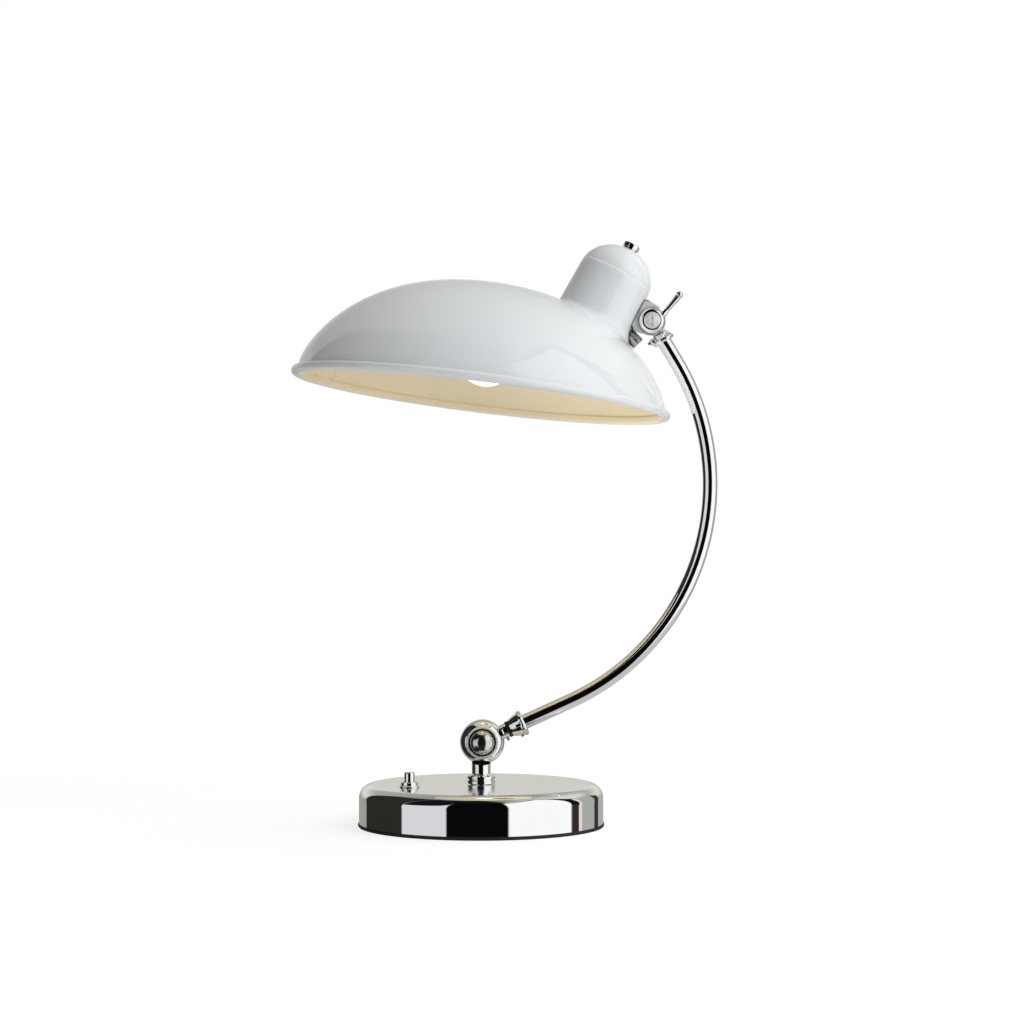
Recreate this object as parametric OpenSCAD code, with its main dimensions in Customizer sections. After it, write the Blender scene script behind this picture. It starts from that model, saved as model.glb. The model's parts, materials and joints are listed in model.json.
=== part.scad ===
// Desk lamp with a spun dome shade on a curved chromed arm and a weighted round base.
// Millimetres, +Z up. The origin is the centre of the base pad's underside.
// +X points from the post towards the arm's bow, and -Y is the front, where the joint's bolt head shows.

/* [Base] */
// Radius of the chromed cover
base_r = 90.5; // [78:0.5:110]
// Height of the cover's top above the table
base_h = 30.8; // [29:0.1:40]
// Radius of the cover's rounded top edge
base_edge_r = 9.7; // [3:0.1:12]
// Sheet thickness of the cover
cover_wall = 1.2; // [0.8:0.1:2]
// Thickness of the rubber pad under the base
pad_t = 2.5; // [1.5:0.1:4]
// How far the pad stands out past the cover
pad_overhang = 0.7; // [0:0.1:1.5]
// Thickness of the steel bottom plate
plate_t = 1.5; // [1:0.1:2.5]
// Thickness of the cast weight
weight_t = 12; // [8:0.5:14]
// Gap between the weight's edge and the cover's inside
weight_side_gap = 5; // [2:0.5:10]
// Distance of the three base screws from the centre
base_screw_ring = 60; // [50:1:66]
// Diameter of the base screws
base_screw_d = 4; // [3:0.5:5]
// Diameter of each pillar under the cover's top
pillar_d = 9; // [8:0.5:12]

/* [Cord inlet] */
// Height of the inlet's centre above the table
inlet_z = 12.5; // [12:0.5:16]
// Bore of the inlet grommet
inlet_bore_d = 6.6; // [5:0.1:8]
// Wall of the grommet round its bore
inlet_wall = 2.4; // [1.5:0.1:3]
// How far each grommet flange reaches past its neck
inlet_flange = 2; // [1:0.1:3]
// Thickness of each grommet flange
inlet_flange_t = 1.8; // [1:0.1:3]
// Width of the terminal block
block_w = 26; // [20:1:30]
// Depth of the terminal block
block_d = 15; // [12:1:20]
// Height of the terminal block
block_h = 13; // [10:0.5:15]
// Distance of the terminal block from the centre
block_y = 50; // [42:1:56]

/* [Switch] */
// Place of the switch on the base, left of the post
switch_x = -52; // [-60:0.1:-45]
// Place of the switch on the base, towards the front
switch_y = -24; // [-32:0.5:-10]
// Diameter of the push button
button_d = 7.6; // [5:0.1:9]
// Height of the button's top above the cover
button_rise = 10.9; // [8:0.1:13]
// Travel of the button
button_travel = 2.5; // [1:0.1:3.5]
// Wall of the switch's threaded neck
switch_neck_wall = 1.2; // [0.8:0.1:2]
// Diameter of the switch's ring nut
switch_nut_d = 15.2; // [13:0.1:18]
// Height of the ring nut
switch_nut_h = 3.6; // [2.5:0.1:5]
// Diameter of the switch's case
switch_case_d = 21; // [17:0.5:24]
// Depth of the switch's case below the cover's top
switch_case_h = 15; // [13:0.5:18]

/* [Post] */
// Height of the lower pivot above the table
pivot_low_z = 62; // [56:0.5:80]
// Distance of the lower pivot from the swivel's axis, towards the arm
pivot_low_x = 0.8; // [0:0.1:3]
// Radius of the post's foot flange
post_flange_r = 10.6; // [9:0.1:14]
// Height of the foot flange
post_flange_h = 6.4; // [4:0.1:9]
// Radius of the post's neck
post_neck_r = 7; // [6.5:0.1:9]
// Radius of the post's shank in the base
post_shank_r = 6; // [5.5:0.1:7]
// Radius of the lead's way through the post
lead_bore_r = 2.9; // [2.6:0.1:3.2]
// Wall of the bearing bush in the cover
bush_wall = 2; // [1.5:0.1:3]
// Turn allowed each way by the swivel stop, in degrees
swivel_limit = 160; // [90:5:160]

/* [Lower joint] */
// Radius of the joint's two discs
hub_r = 16.6; // [15:0.1:21]
// Thickness of each disc
hub_disc_t = 9.4; // [8:0.1:12]
// Radius of the round from each disc's face to its edge
hub_edge_r = 10.6; // [4:0.1:12]
// Thickness of the fibre washer between the discs
hub_washer_t = 0.6; // [0.4:0.1:1.2]
// Radius of the bolt's domed head
bolt_head_r = 9.2; // [8:0.1:10]
// Rise of the bolt's domed head
bolt_head_h = 6.2; // [3:0.1:8]
// Radius of both pivot bolts' shanks
bolt_r = 3; // [2.5:0.1:3.5]
// Radius of the neck that carries the lower ferrule
eye_neck_r = 5.4; // [5:0.1:6.5]

/* [Arm] */
// Rise of the arm's lower straight above horizontal, in degrees
arm_rise = 24.545; // [10:0.1:40]
// Length from the lower pivot to the start of the bow
arm_low_straight = 72.2; // [60:0.1:110]
// Distance of the lower straight's axis above the lower pivot
arm_low_lift = 0.3; // [0:0.1:1]
// Radius of the bow at the tube's centreline
arm_bow_r = 177; // [140:1:220]
// Angle that the bow turns through
arm_bow_angle = 96.5; // [80:0.1:110]
// Length from the end of the bow to the upper pivot
arm_top_straight = 33.8; // [26:0.1:60]
// Distance of the upper pivot from the upper straight's axis, towards the shade
arm_top_lift = 1.4; // [0:0.1:2]
// Outer radius of the arm tube
tube_r = 5.5; // [5:0.1:7]
// Wall of the arm tube
tube_wall = 1; // [0.7:0.1:1.3]
// Distance from the edge of the lower joint's discs to the lower ferrule
low_ferrule_start = 6.2; // [5.4:0.1:11.4]
// Length of the lower ferrule
low_ferrule_len = 11.8; // [10:0.1:18]
// Radius of the lower ferrule's lip
low_ferrule_r = 9.7; // [8.5:0.1:12]
// Distance from the upper pivot to the upper ferrule
top_ferrule_start = 10.7; // [10.5:0.1:14]
// Length of the upper ferrule
top_ferrule_len = 6.8; // [6.5:0.1:12]
// Radius of the upper ferrule's widest place
top_ferrule_r = 8.4; // [8.2:0.1:11]

/* [Upper joint] */
// Radius of the arm's upper eye
knuckle_r = 8.5; // [7.5:0.1:9]
// Thickness of the arm's upper eye
knuckle_t = 11; // [10:0.1:14]
// Thickness of each cheek of the bracket
cheek_t = 4.2; // [3:0.1:6]
// Radius of the front cheek's round end
cheek_r = 10.2; // [9:0.1:10.3]
// Radius of the rear cheek's round end
rear_cheek_r = 8.4; // [8:0.1:10.3]
// Height of the rear cheek's top above the pivot
rear_cheek_rise = 14.2; // [11:0.1:15]
// Distance from the neck's axis to the upper pivot
pivot_off_neck = 39.2; // [38.5:0.1:46]
// Radius of the clamp nut
clamp_nut_r = 9.4; // [7.5:0.1:10]
// Thickness of the clamp nut
clamp_nut_t = 5.4; // [5:0.1:7]
// Angle of the clamp lever above horizontal
lever_angle = 50; // [40:0.5:60]
// Distance of the lever's ball from the pivot
lever_reach = 27.3; // [22:0.1:30]
// Radius of the lever's rod at its root
lever_rod_r = 1.9; // [1:0.1:2]
// Radius of the lever's ball
lever_ball_r = 2.8; // [2:0.1:3]

/* [Shade] */
// Lean of the shade at rest, towards the arm, in degrees
shade_lean = 6.97; // [0:0.1:12]
// Outer radius of the rolled rim
shade_rim_r = 141.1; // [118:0.5:172]
// Radius of the rolled rim's section
rim_bead_r = 3.2; // [2.2:0.1:4]
// How far the rim stands out past the wall
rim_standoff = 4.5; // [4:0.1:5.6]
// Height of the dome above the rim's underside
shade_h = 84.3; // [76:0.1:100]
// Thickness of the shade's sheet
shade_wall = 1; // [0.6:0.1:1.5]
// How far the upper pivot stands inside the rim's outer edge
pivot_off_shade = 22.4; // [20:0.1:31]
// Height of the upper pivot above the rim's underside
pivot_over_rim = 71.2; // [66:0.1:82]

/* [Neck] */
// Lean of the neck on the shade, in degrees
neck_lean = 21.03; // [15:0.1:26]
// Radius of the neck at its shoulder
neck_top_r = 27.9; // [26:0.1:30]
// Radius of the neck where it meets the dome
neck_foot_r = 29.3; // [27:0.1:31]
// Thickness of the neck's wall
neck_wall = 1.2; // [0.8:0.1:1.8]
// Height of the shoulder above the upper pivot's level, along the neck
shoulder_z = 16; // [10:0.1:20]
// Height of the rounded top above the shoulder
crown_h = 24.6; // [18:0.1:30]
// Height of the cap's seam above the shoulder
cap_seam = 4.5; // [3:0.1:12]
// Radius of the finial nut
finial_r = 6.2; // [4:0.1:8]
// Height of the finial nut
finial_h = 4.5; // [3:0.1:8]
// Distance of the lead bush below the upper pivot's level
lead_bush_drop = 16.6; // [16.5:0.1:19]
// Radius of the lead bush
lead_bush_r = 5; // [4.5:0.1:5.5]
// Length of the lead bush outside the neck
lead_bush_len = 10.6; // [8:0.1:14]

/* [Lampholder and bulb] */
// Height of the bulb's centre above the rim's underside
bulb_over_rim = 31.9; // [30:0.1:45]
// Distance from the bulb's centre to the upper pivot, across the shade
bulb_off_pivot = 117.7; // [112:0.1:122]
// Lean of the bulb and holder on the shade's axis, in degrees
holder_lean = 59.6; // [55:0.1:60]
// Radius of the bulb's glass
bulb_r = 22.5; // [20:0.1:25]
// Radius of the screw cap
cap_r = 6.95; // [6.9:0.05:7]
// Distance from the bulb's centre to the holder's mouth
holder_start = 35; // [33:0.5:40]
// Length of the holder
holder_len = 45; // [42:0.5:48]
// Radius of the holder
holder_r = 13.3; // [13:0.1:14]

/* [Fits] */
// Radial clearance of a turning or sliding fit
run_gap = 0.05; // [0.02:0.01:0.1]
// Gap between faces that slide past each other
face_gap = 0.3; // [0.2:0.05:0.5]
// Gap between pieces that are screwed or pressed together
seat_gap = 0.05; // [0.02:0.01:0.1]

/* [Hidden] */

$fn = 96;
far = 400; // longer than any piece, for cuts
e = 0.01; // overlap between joined shapes

chrome = [0.80, 0.81, 0.82];
white_enamel = [0.93, 0.94, 0.94];
black_rubber = [0.07, 0.07, 0.07];
cast_iron = [0.25, 0.25, 0.26];
zinc_steel = [0.62, 0.63, 0.65];
brass = [0.80, 0.65, 0.32];
black_plastic = [0.09, 0.09, 0.10];
white_plastic = [0.88, 0.88, 0.85];
fibre = [0.35, 0.16, 0.10];
opal = [0.98, 0.96, 0.90];

// Heights inside the base
plate_z = pad_t;
weight_z = plate_z + plate_t;
cover_under = base_h - cover_wall;
cover_in_r = base_r - cover_wall;
weight_r = cover_in_r - weight_side_gap;
weight_top = weight_z + weight_t;
base_screw_angles = [40, 160, 280];
slot_w = 13; // lead way in the weight
block_margin = 2; // room round the terminal block
block_bore_r = 2.2;
block_screw_r = 1.6;
block_pitch = block_w / 3;

// Switch
switch_neck_r = button_d / 2 + run_gap + switch_neck_wall;
switch_body_z = cover_under - switch_case_h;
switch_floor = 3;
button_foot_z = switch_body_z + switch_floor + button_travel + 1;
switch_pocket_r = switch_case_d / 2 + 2;

// Post and swivel
post_face_z = base_h + face_gap;
post_flange_top = post_face_z + post_flange_h;
shank_foot_z = weight_z + plate_t + 3;
bush_r = post_shank_r + run_gap + bush_wall;
bush_flange_r = bush_r + 4;
bush_flange_t = 2;
bush_foot_z = cover_under - bush_flange_t - seat_gap;
stop_t = 2;
stop_z = bush_foot_z - face_gap - stop_t;
stop_tongue_r = bush_flange_r + 4;
stop_half = (180 - swivel_limit) / 2 - 2; // half of the angle taken by the tongue, and by the peg
post_washer_t = 1.2;
post_nut_h = 5;
post_nut_r = 10.4;
post_washer_z = stop_z - seat_gap - post_washer_t;
post_nut_z = post_washer_z - seat_gap - post_nut_h;
centre_hole_r = stop_tongue_r + 2;

// Lower joint, along Y from the joint's middle
disc_in = hub_washer_t / 2 + run_gap;
disc_out = disc_in + hub_disc_t;
hub_sweep_r = hub_r + 0.5; // what turns past a disc stays outside this radius
head_recess_r = bolt_head_r + 1;
head_recess_t = 1.8;
chamber_r = 8;
chamber_t = 5.6;
nut_af_r = 6.4;
pivot_washer_t = 1;
pivot_nut_t = 5.5;
neck_screw_r = 1.1;
neck_screw_s = hub_sweep_r + neck_screw_r + 0.2;
neck_screw_out = 7.6;

// Arm
spigot_r = tube_r - tube_wall - seat_gap;
lead_r = lead_bore_r - 0.4;
ferrule_washer_t = 2.2;
ferrule_end_wall = 2.2;
top_end_wall = 0.8;
low_ferrule_s = hub_r + low_ferrule_start;
low_washer_s = low_ferrule_s - seat_gap - ferrule_washer_t;
low_tube_s = low_ferrule_s + ferrule_end_wall + seat_gap;
top_tube_s = top_ferrule_start + top_end_wall + seat_gap;
spigot_len = 13;
bow_step = 0.02;
bow_lap = 0.3; // degrees
bow_start = [pivot_low_x + arm_low_straight * cos(arm_rise) - arm_low_lift * sin(arm_rise),
             pivot_low_z + arm_low_straight * sin(arm_rise) + arm_low_lift * cos(arm_rise)];
bow_centre = [bow_start[0] - arm_bow_r * sin(arm_rise), bow_start[1] + arm_bow_r * cos(arm_rise)];
bow_from = arm_rise - 90;
bow_to = bow_from + arm_bow_angle;
bow_end = bow_centre + arm_bow_r * [cos(bow_to), sin(bow_to)];
pivot_top = bow_end + arm_top_straight * [-sin(bow_to), cos(bow_to)] - arm_top_lift * [cos(bow_to), sin(bow_to)];
ferrule_screw_r = 1.1;
ferrule_screw_s = top_tube_s + ferrule_screw_r + 0.2;
ferrule_boss_r = 3.2;
ferrule_boss_out = top_ferrule_r + 1;
ferrule_screw_out = ferrule_boss_out + 1.8;
low_screw_s = low_ferrule_s + 0.55 * low_ferrule_len;
low_screw_out = low_ferrule_r - 0.3;

// Upper joint, along Y from the joint's middle
cheek_in = knuckle_t / 2 + face_gap;
cheek_out = cheek_in + cheek_t;
nut_in = cheek_out + face_gap;
nut_out = nut_in + clamp_nut_t;
cap_recess_r = clamp_nut_r - 3.2;
cap_recess_t = 0.8;
clamp_cap_h = 2.8;
bolt_hex_r = 5.6;
bolt_hex_t = 4;
lever_y = -(nut_in + clamp_nut_t / 2);
lever_side = 3.3; // the lever's axis passes this far below the pivot
lever_root_r = 2.6;
lever_root_len = 4.4;
saddle_half = 7.5;
saddle_top = 12.5;
saddle_foot = -10.8;
saddle_face = pivot_off_neck - knuckle_r - face_gap;
cheek_back = saddle_face - 3;
bracket_screw_z = [-6.5, 7.5];
bracket_screw_r = 2;
bracket_screw_head_r = 3.8;
bracket_screw_head_t = 2.4;

// Shade
shade_axis_off = shade_rim_r - pivot_off_shade;
rim_mid_r = shade_rim_r - rim_bead_r;
wall_foot_r = shade_rim_r - rim_standoff;
wall_foot_z = 6;
dome_round_r = 0.83; // exponents of the dome's outline, 1 being an ellipse
dome_round_z = 1.355;
dome_steps = 26;

// Neck, in its own frame: the upper pivot is at [pivot_off_neck, 0, 0]
neck_foot_z = -60;
neck_flare_z = -30; // where the neck has its foot radius
crown_top = shoulder_z + crown_h;
seam_z = shoulder_z + cap_seam;
crown_steps = 14;
cap_lip_h = 4;
stud_r = 2.5;
stud_hole_gap = 0.2;
bush_hole_r = 3.6;
bush_nut_r = 6;
bush_nut_t = 3;
bush_tail = 5.5;

// Lampholder, along its own axis from the bulb's centre
holder_end = holder_start + holder_len;
shell_wall = 1.4;
shell_floor = 2;
core_len = 24;
core_end = holder_end - shell_floor - 3;
cap_start = 30.5;
cap_len = 21;
cap_end = cap_start + cap_len;
tip_r = 2.4;
tip_h = 2;
sleeve_wall = 0.5;
glass_wall = 0.9;
cap_wall = 0.6;
nipple_r = 5;
nipple_bore_r = 3.2;
nipple_end = holder_end + 11;
strap_t = 2;
strap_half = 7;
strap_s = holder_end + 5; // holder's end to the strap's near face
strap_top_z = crown_top - 9;
strap_leg_x = 14;
nipple_nut_r = 8;
nipple_nut_t = 2.4;

// ---- frames ----

// The lower pivot's frame, with Z turned along the arm's lower straight
module along_arm_low()
    at_pivot_low() rotate([0, 90 - arm_rise, 0]) translate([-arm_low_lift, 0, 0]) children();

// The upper pivot's frame, with Z turned down along the arm's upper straight
module along_arm_top()
    at_pivot_top() rotate([0, 180 - bow_to, 0]) translate([-arm_top_lift, 0, 0]) children();

module at_pivot_low() translate([pivot_low_x, 0, pivot_low_z]) children();
module at_pivot_top() translate([pivot_top[0], 0, pivot_top[1]]) children();

// The shade's frame: Z is the dome's axis and Z = 0 the rim's underside
module shade_frame()
    at_pivot_top() rotate([0, shade_lean, 0]) translate([-shade_axis_off, 0, -pivot_over_rim]) children();

// The neck's frame: Z is the neck's axis
module neck_frame()
    at_pivot_top() rotate([0, shade_lean + neck_lean, 0]) translate([-pivot_off_neck, 0, 0]) children();

// The lampholder's frame: the origin is the bulb's centre and Z points to the holder
module holder_frame()
    at_pivot_top() rotate([0, shade_lean, 0])
        translate([-bulb_off_pivot, 0, bulb_over_rim - pivot_over_rim]) rotate([0, holder_lean, 0]) children();

// Where a point of the holder's axis lies in the neck's frame, as [x, z]
function holder_point(s) =
    let (x = s * sin(holder_lean) - bulb_off_pivot,
         z = bulb_over_rim + s * cos(holder_lean) - pivot_over_rim)
    [x * cos(neck_lean) - z * sin(neck_lean) + pivot_off_neck, x * sin(neck_lean) + z * cos(neck_lean)];

// ---- shared shapes ----

// A cylinder along Y between two places
module y_cyl(r, y0, y1) translate([0, y1, 0]) rotate([90, 0, 0]) cylinder(r = r, h = y1 - y0);

// A cylinder along X between two places
module x_cyl(r, x0, x1) translate([x0, 0, 0]) rotate([0, 90, 0]) cylinder(r = r, h = x1 - x0);

// A low dome along Z with a flat foot: h high on a circle of radius r
module button_dome(r, h)
    rotate_extrude()
        intersection() {
            translate([0, h - (r * r + h * h) / (2 * h)]) circle(r = (r * r + h * h) / (2 * h), $fn = 128);
            square([r, h]);
        }

// A cylinder whose top edge is rounded by a true arc
module round_top(r, h, edge)
    rotate_extrude()
        union() {
            square([r, h - edge]);
            square([r - edge, h]);
            intersection() {
                translate([r - edge, h - edge]) circle(r = edge, $fn = 64);
                square([r, h]);
            }
        }

// A disc with one convex face: a true arc from a small flat to the edge, cut short by the foot if it is longer
module convex_disc(r, h, edge)
    rotate_extrude()
        intersection() {
            square([r, h]);
            union() {
                translate([0, -far]) square([r, far + h - edge]);
                translate([0, -far]) square([r - edge, far + h]);
                translate([r - edge, h - edge]) circle(r = edge, $fn = 128);
            }
        }

// ---- base ----

module cover_solid(r, foot, h, edge) translate([0, 0, foot]) round_top(r, h - foot, edge);

module base_cover()
    color(chrome)
        difference() {
            cover_solid(base_r, pad_t, base_h, base_edge_r);
            cover_solid(cover_in_r, 0, cover_under, max(base_edge_r - cover_wall, 0.5));
            cylinder(r = bush_r + seat_gap, h = far);
            translate([switch_x, switch_y, 0]) cylinder(r = switch_neck_r + seat_gap, h = far);
            translate([0, 0, inlet_z]) y_cyl(inlet_bore_d / 2 + inlet_wall + seat_gap, base_r - 10, base_r + 10);
        }

module base_pad()
    color(black_rubber)
        rotate_extrude()
            union() {
                square([base_r + pad_overhang - 0.6, pad_t]);
                translate([0, 0.6]) square([base_r + pad_overhang, pad_t - 1.2]);
            }

module bottom_plate()
    color(zinc_steel)
        difference() {
            translate([0, 0, plate_z]) cylinder(r = cover_in_r - face_gap, h = plate_t);
            at_base_screws() {
                cylinder(r = base_screw_d / 2 + seat_gap, h = far);
                translate([0, 0, plate_z - e]) countersink(seat_gap);
            }
        }

module at_base_screws()
    for (a = base_screw_angles)
        rotate(a) translate([base_screw_ring, 0, 0]) children();

// The cone of a countersunk head, flush with the plate's underside
module countersink(gap) cylinder(r1 = base_screw_d + gap, r2 = base_screw_d / 2 + gap, h = plate_t);

module base_weight()
    color(cast_iron)
        difference() {
            translate([0, 0, weight_z]) cylinder(r = weight_r, h = weight_t);
            cylinder(r = centre_hole_r, h = far);
            translate([switch_x, switch_y, 0]) cylinder(r = switch_pocket_r, h = far);
            rotate(atan2(switch_y, switch_x)) translate([0, -slot_w / 2, 0]) square_bar(norm([switch_x, switch_y]));
            translate([slot_w / 2, 0, 0]) rotate(90) square_bar(far);
            translate([-block_w / 2 - block_margin, block_y - block_d / 2 - block_margin, 0])
                cube([block_w + 2 * block_margin, block_d + 2 * block_margin, far]);
            at_base_screws() cylinder(r = base_screw_d / 2 + seat_gap, h = far);
        }

module square_bar(length) cube([length, slot_w, far]);

module cover_pillars()
    color(zinc_steel)
        at_base_screws()
            difference() {
                translate([0, 0, weight_top]) cylinder(d = pillar_d, h = cover_under - weight_top);
                translate([0, 0, weight_top - e]) cylinder(r = base_screw_d / 2 + seat_gap, h = 8);
            }

module base_screws()
    color(zinc_steel)
        at_base_screws()
            union() {
                translate([0, 0, plate_z]) countersink(0);
                translate([0, 0, plate_z + e]) cylinder(d = base_screw_d, h = weight_top + 6 - plate_z);
            }

module cord_grommet()
    color(black_rubber)
        difference() {
            translate([0, 0, inlet_z])
                union() {
                    y_cyl(inlet_bore_d / 2 + inlet_wall, cover_in_r - inlet_flange_t - 2,
                          base_r + inlet_flange_t);
                    y_cyl(inlet_bore_d / 2 + inlet_wall + inlet_flange, base_r - 2, base_r + inlet_flange_t);
                    y_cyl(inlet_bore_d / 2 + inlet_wall + inlet_flange - 1, cover_in_r - inlet_flange_t - 1,
                          cover_in_r);
                }
            // the flanges follow the curved wall between them
            difference() {
                cylinder(r = base_r + seat_gap, h = far);
                cylinder(r = cover_in_r - seat_gap, h = far);
                translate([0, 0, inlet_z]) y_cyl(inlet_bore_d / 2 + inlet_wall, 0, far);
            }
            translate([0, 0, inlet_z]) y_cyl(inlet_bore_d / 2, 0, far);
        }

module at_terminals()
    for (side = [-1, 1])
        translate([side * block_pitch / 2, block_y, weight_z]) children();

module terminal_block()
    color(white_plastic)
        difference() {
            translate([-block_w / 2, block_y - block_d / 2, weight_z]) cube([block_w, block_d, block_h]);
            at_terminals() {
                translate([0, 0, block_h / 2]) y_cyl(block_bore_r, -far / 2, far / 2);
                for (end = [-1, 1])
                    translate([0, end * block_d / 4, block_h / 2]) cylinder(r = block_screw_r + seat_gap, h = far);
            }
        }

module terminal_screws()
    color(brass)
        at_terminals()
            for (end = [-1, 1])
                translate([0, end * block_d / 4, block_h / 2])
                    difference() {
                        cylinder(r = block_screw_r, h = block_h / 2 - 1);
                        translate([-far, -0.3, block_h / 2 - 1.8]) cube([2 * far, 0.6, far]);
                    }

// ---- switch ----

module at_switch() translate([switch_x, switch_y, 0]) children();

module switch_case()
    color(black_plastic)
        at_switch()
            difference() {
                translate([0, 0, switch_body_z]) cylinder(d = switch_case_d, h = switch_case_h - seat_gap);
                translate([0, 0, switch_body_z + switch_floor])
                    cylinder(r = button_d / 2 + run_gap + 0.4, h = far);
                translate([0, 0, cover_under - 3.5]) cylinder(r = switch_neck_r + seat_gap, h = far);
            }

module switch_neck()
    color(chrome)
        at_switch()
            difference() {
                translate([0, 0, cover_under - 3.4])
                    cylinder(r = switch_neck_r, h = base_h + switch_nut_h + 0.4 - cover_under + 3.4);
                cylinder(r = button_d / 2 + run_gap, h = far);
            }

// Ring nut: a thin skirt, then a waist that slopes up to the button
module switch_nut()
    color(chrome)
        at_switch()
            translate([0, 0, base_h])
                rotate_extrude()
                    difference() {
                        polygon([[0, 0], [switch_nut_d / 2 - 0.3, 0], [switch_nut_d / 2, 0.4],
                                 [switch_nut_d / 2, 1], [switch_nut_d / 2 - 0.5, 1.4],
                                 [switch_nut_d / 2 - 1.2, 1.5], [switch_neck_r + 1.2, switch_nut_h - 0.3],
                                 [switch_neck_r + 0.8, switch_nut_h], [0, switch_nut_h]]);
                        translate([0, -e]) square([switch_neck_r + seat_gap, far]);
                    }

module switch_button()
    color(chrome)
        at_switch()
            translate([0, 0, button_foot_z])
                round_top(button_d / 2, base_h + button_rise - button_foot_z, 1);

// ---- post ----

module post_bush()
    color(brass)
        difference() {
            union() {
                translate([0, 0, bush_foot_z]) cylinder(r = bush_flange_r, h = bush_flange_t);
                translate([0, 0, bush_foot_z]) cylinder(r = bush_r, h = base_h - bush_foot_z);
            }
            cylinder(r = post_shank_r + run_gap, h = far);
        }

// A sector between two radii, either side of the -X direction where turned by 180
module sector(r_in, r_out, half, z, h)
    translate([0, 0, z])
        rotate([0, 0, -half])
            rotate_extrude(angle = 2 * half)
                translate([r_in, 0]) square([r_out - r_in, h]);

module stop_peg()
    color(brass)
        rotate(180) sector(bush_flange_r + face_gap, stop_tongue_r, stop_half, stop_z - 1, cover_under - stop_z + 1);

module stop_washer()
    color(zinc_steel)
        difference() {
            union() {
                translate([0, 0, stop_z]) cylinder(r = bush_flange_r, h = stop_t);
                sector(bush_flange_r - 2, stop_tongue_r, stop_half, stop_z, stop_t);
            }
            cylinder(r = post_shank_r + seat_gap, h = far);
        }

module post_washer()
    color(zinc_steel)
        difference() {
            translate([0, 0, post_washer_z]) cylinder(r = post_nut_r + 0.6, h = post_washer_t);
            cylinder(r = post_shank_r + seat_gap, h = far);
        }

module post_nut()
    color(brass)
        difference() {
            translate([0, 0, post_nut_z]) cylinder(r = post_nut_r, h = post_nut_h, $fn = 6);
            cylinder(r = post_shank_r + seat_gap, h = far);
        }

// Half of the lower joint: a disc from y = disc_in outwards, with its outer edge rounded
module hub_disc()
    rotate([-90, 0, 0])
        difference() {
            translate([0, 0, disc_in]) convex_disc(hub_r, hub_disc_t, hub_edge_r);
            translate([0, 0, disc_in - e]) cylinder(r = chamber_r, h = chamber_t);
            cylinder(r = bolt_r + run_gap, h = far);
        }

module post_foot()
    rotate_extrude()
        polygon([[0, shank_foot_z], [post_shank_r, shank_foot_z], [post_shank_r, post_face_z],
                 [post_flange_r - 0.5, post_face_z], [post_flange_r, post_face_z + 0.5],
                 [post_flange_r, post_face_z + 2.2], [post_flange_r - 0.7, post_face_z + 2.7],
                 [post_flange_r - 0.7, post_face_z + 3.3], [post_flange_r, post_face_z + 3.8],
                 [post_flange_r, post_flange_top - 0.8], [post_flange_r - 0.8, post_flange_top],
                 [post_neck_r + 1, post_flange_top], [post_neck_r, post_flange_top + 1],
                 [post_neck_r, pivot_low_z - 9], [0, pivot_low_z - 9]]);

module post()
    color(chrome)
        difference() {
            union() {
                difference() {
                    post_foot();
                    at_pivot_low() y_cyl(hub_sweep_r, -far, disc_in);
                    at_pivot_low() y_cyl(chamber_r, -far, disc_in + chamber_t);
                }
                at_pivot_low() hub_disc();
            }
            translate([0, 0, shank_foot_z - e]) cylinder(r = lead_bore_r, h = post_flange_top + 4 - shank_foot_z);
            // the lead's way leans back from the shank into the rear disc's chamber
            translate([0, 0, post_flange_top]) rotate([-14, 0, 0])
                cylinder(r = lead_bore_r - 0.4, h = pivot_low_z - 5 - post_flange_top);
        }

// ---- lower joint and arm ----

module arm_eye()
    color(chrome)
        difference() {
            union() {
                at_pivot_low() mirror([0, 1, 0]) hub_disc();
                difference() {
                    along_arm_low() cylinder(r = eye_neck_r, h = low_washer_s - seat_gap);
                    at_pivot_low() y_cyl(hub_sweep_r, -disc_in, far);
                    at_pivot_low() y_cyl(chamber_r, -disc_in - chamber_t, far);
                }
                along_arm_low() translate([0, 0, low_washer_s - 1]) cylinder(r = spigot_r, h = spigot_len + 1);
            }
            at_pivot_low() y_cyl(head_recess_r, -far, -disc_out + head_recess_t);
            at_pivot_low()
                difference() {
                    y_cyl(head_recess_r, -far, -disc_out + head_recess_t + 1.4);
                    y_cyl(bolt_head_r, -far, 0);
                }
            along_arm_low() {
                translate([0, 0, hub_sweep_r - 2]) cylinder(r = lead_bore_r, h = far);
                rotate([14, 0, 0]) translate([0, 0, chamber_r - 3]) cylinder(r = lead_bore_r - 0.4, h = 14);
                translate([0, 0, neck_screw_s]) x_cyl(neck_screw_r + seat_gap, 0, neck_screw_out);
            }
        }

module neck_screw()
    color(zinc_steel)
        along_arm_low() translate([0, 0, neck_screw_s]) x_cyl(neck_screw_r, lead_bore_r + 0.3, neck_screw_out);

module hinge_washer()
    color(fibre)
        at_pivot_low()
            difference() {
                y_cyl(hub_r - 2, -hub_washer_t / 2, hub_washer_t / 2);
                y_cyl(chamber_r + 0.4, -far, far);
            }

module pivot_bolt()
    color(chrome)
        at_pivot_low()
            rotate([90, 0, 0])
                difference() {
                    union() {
                        translate([0, 0, disc_out - head_recess_t + seat_gap]) {
                            cylinder(r = bolt_head_r, h = head_recess_t - 0.4);
                            translate([0, 0, head_recess_t - 0.4 - e]) button_dome(bolt_head_r, bolt_head_h);
                        }
                        translate([0, 0, -disc_out - pivot_washer_t - pivot_nut_t + 1])
                            cylinder(r = bolt_r, h = 2 * disc_out + pivot_nut_t + pivot_washer_t - 2);
                    }
                    translate([0, 0, disc_out + bolt_head_h - 2.6]) cylinder(r = 2.4, h = 5, $fn = 6);
                }

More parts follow.
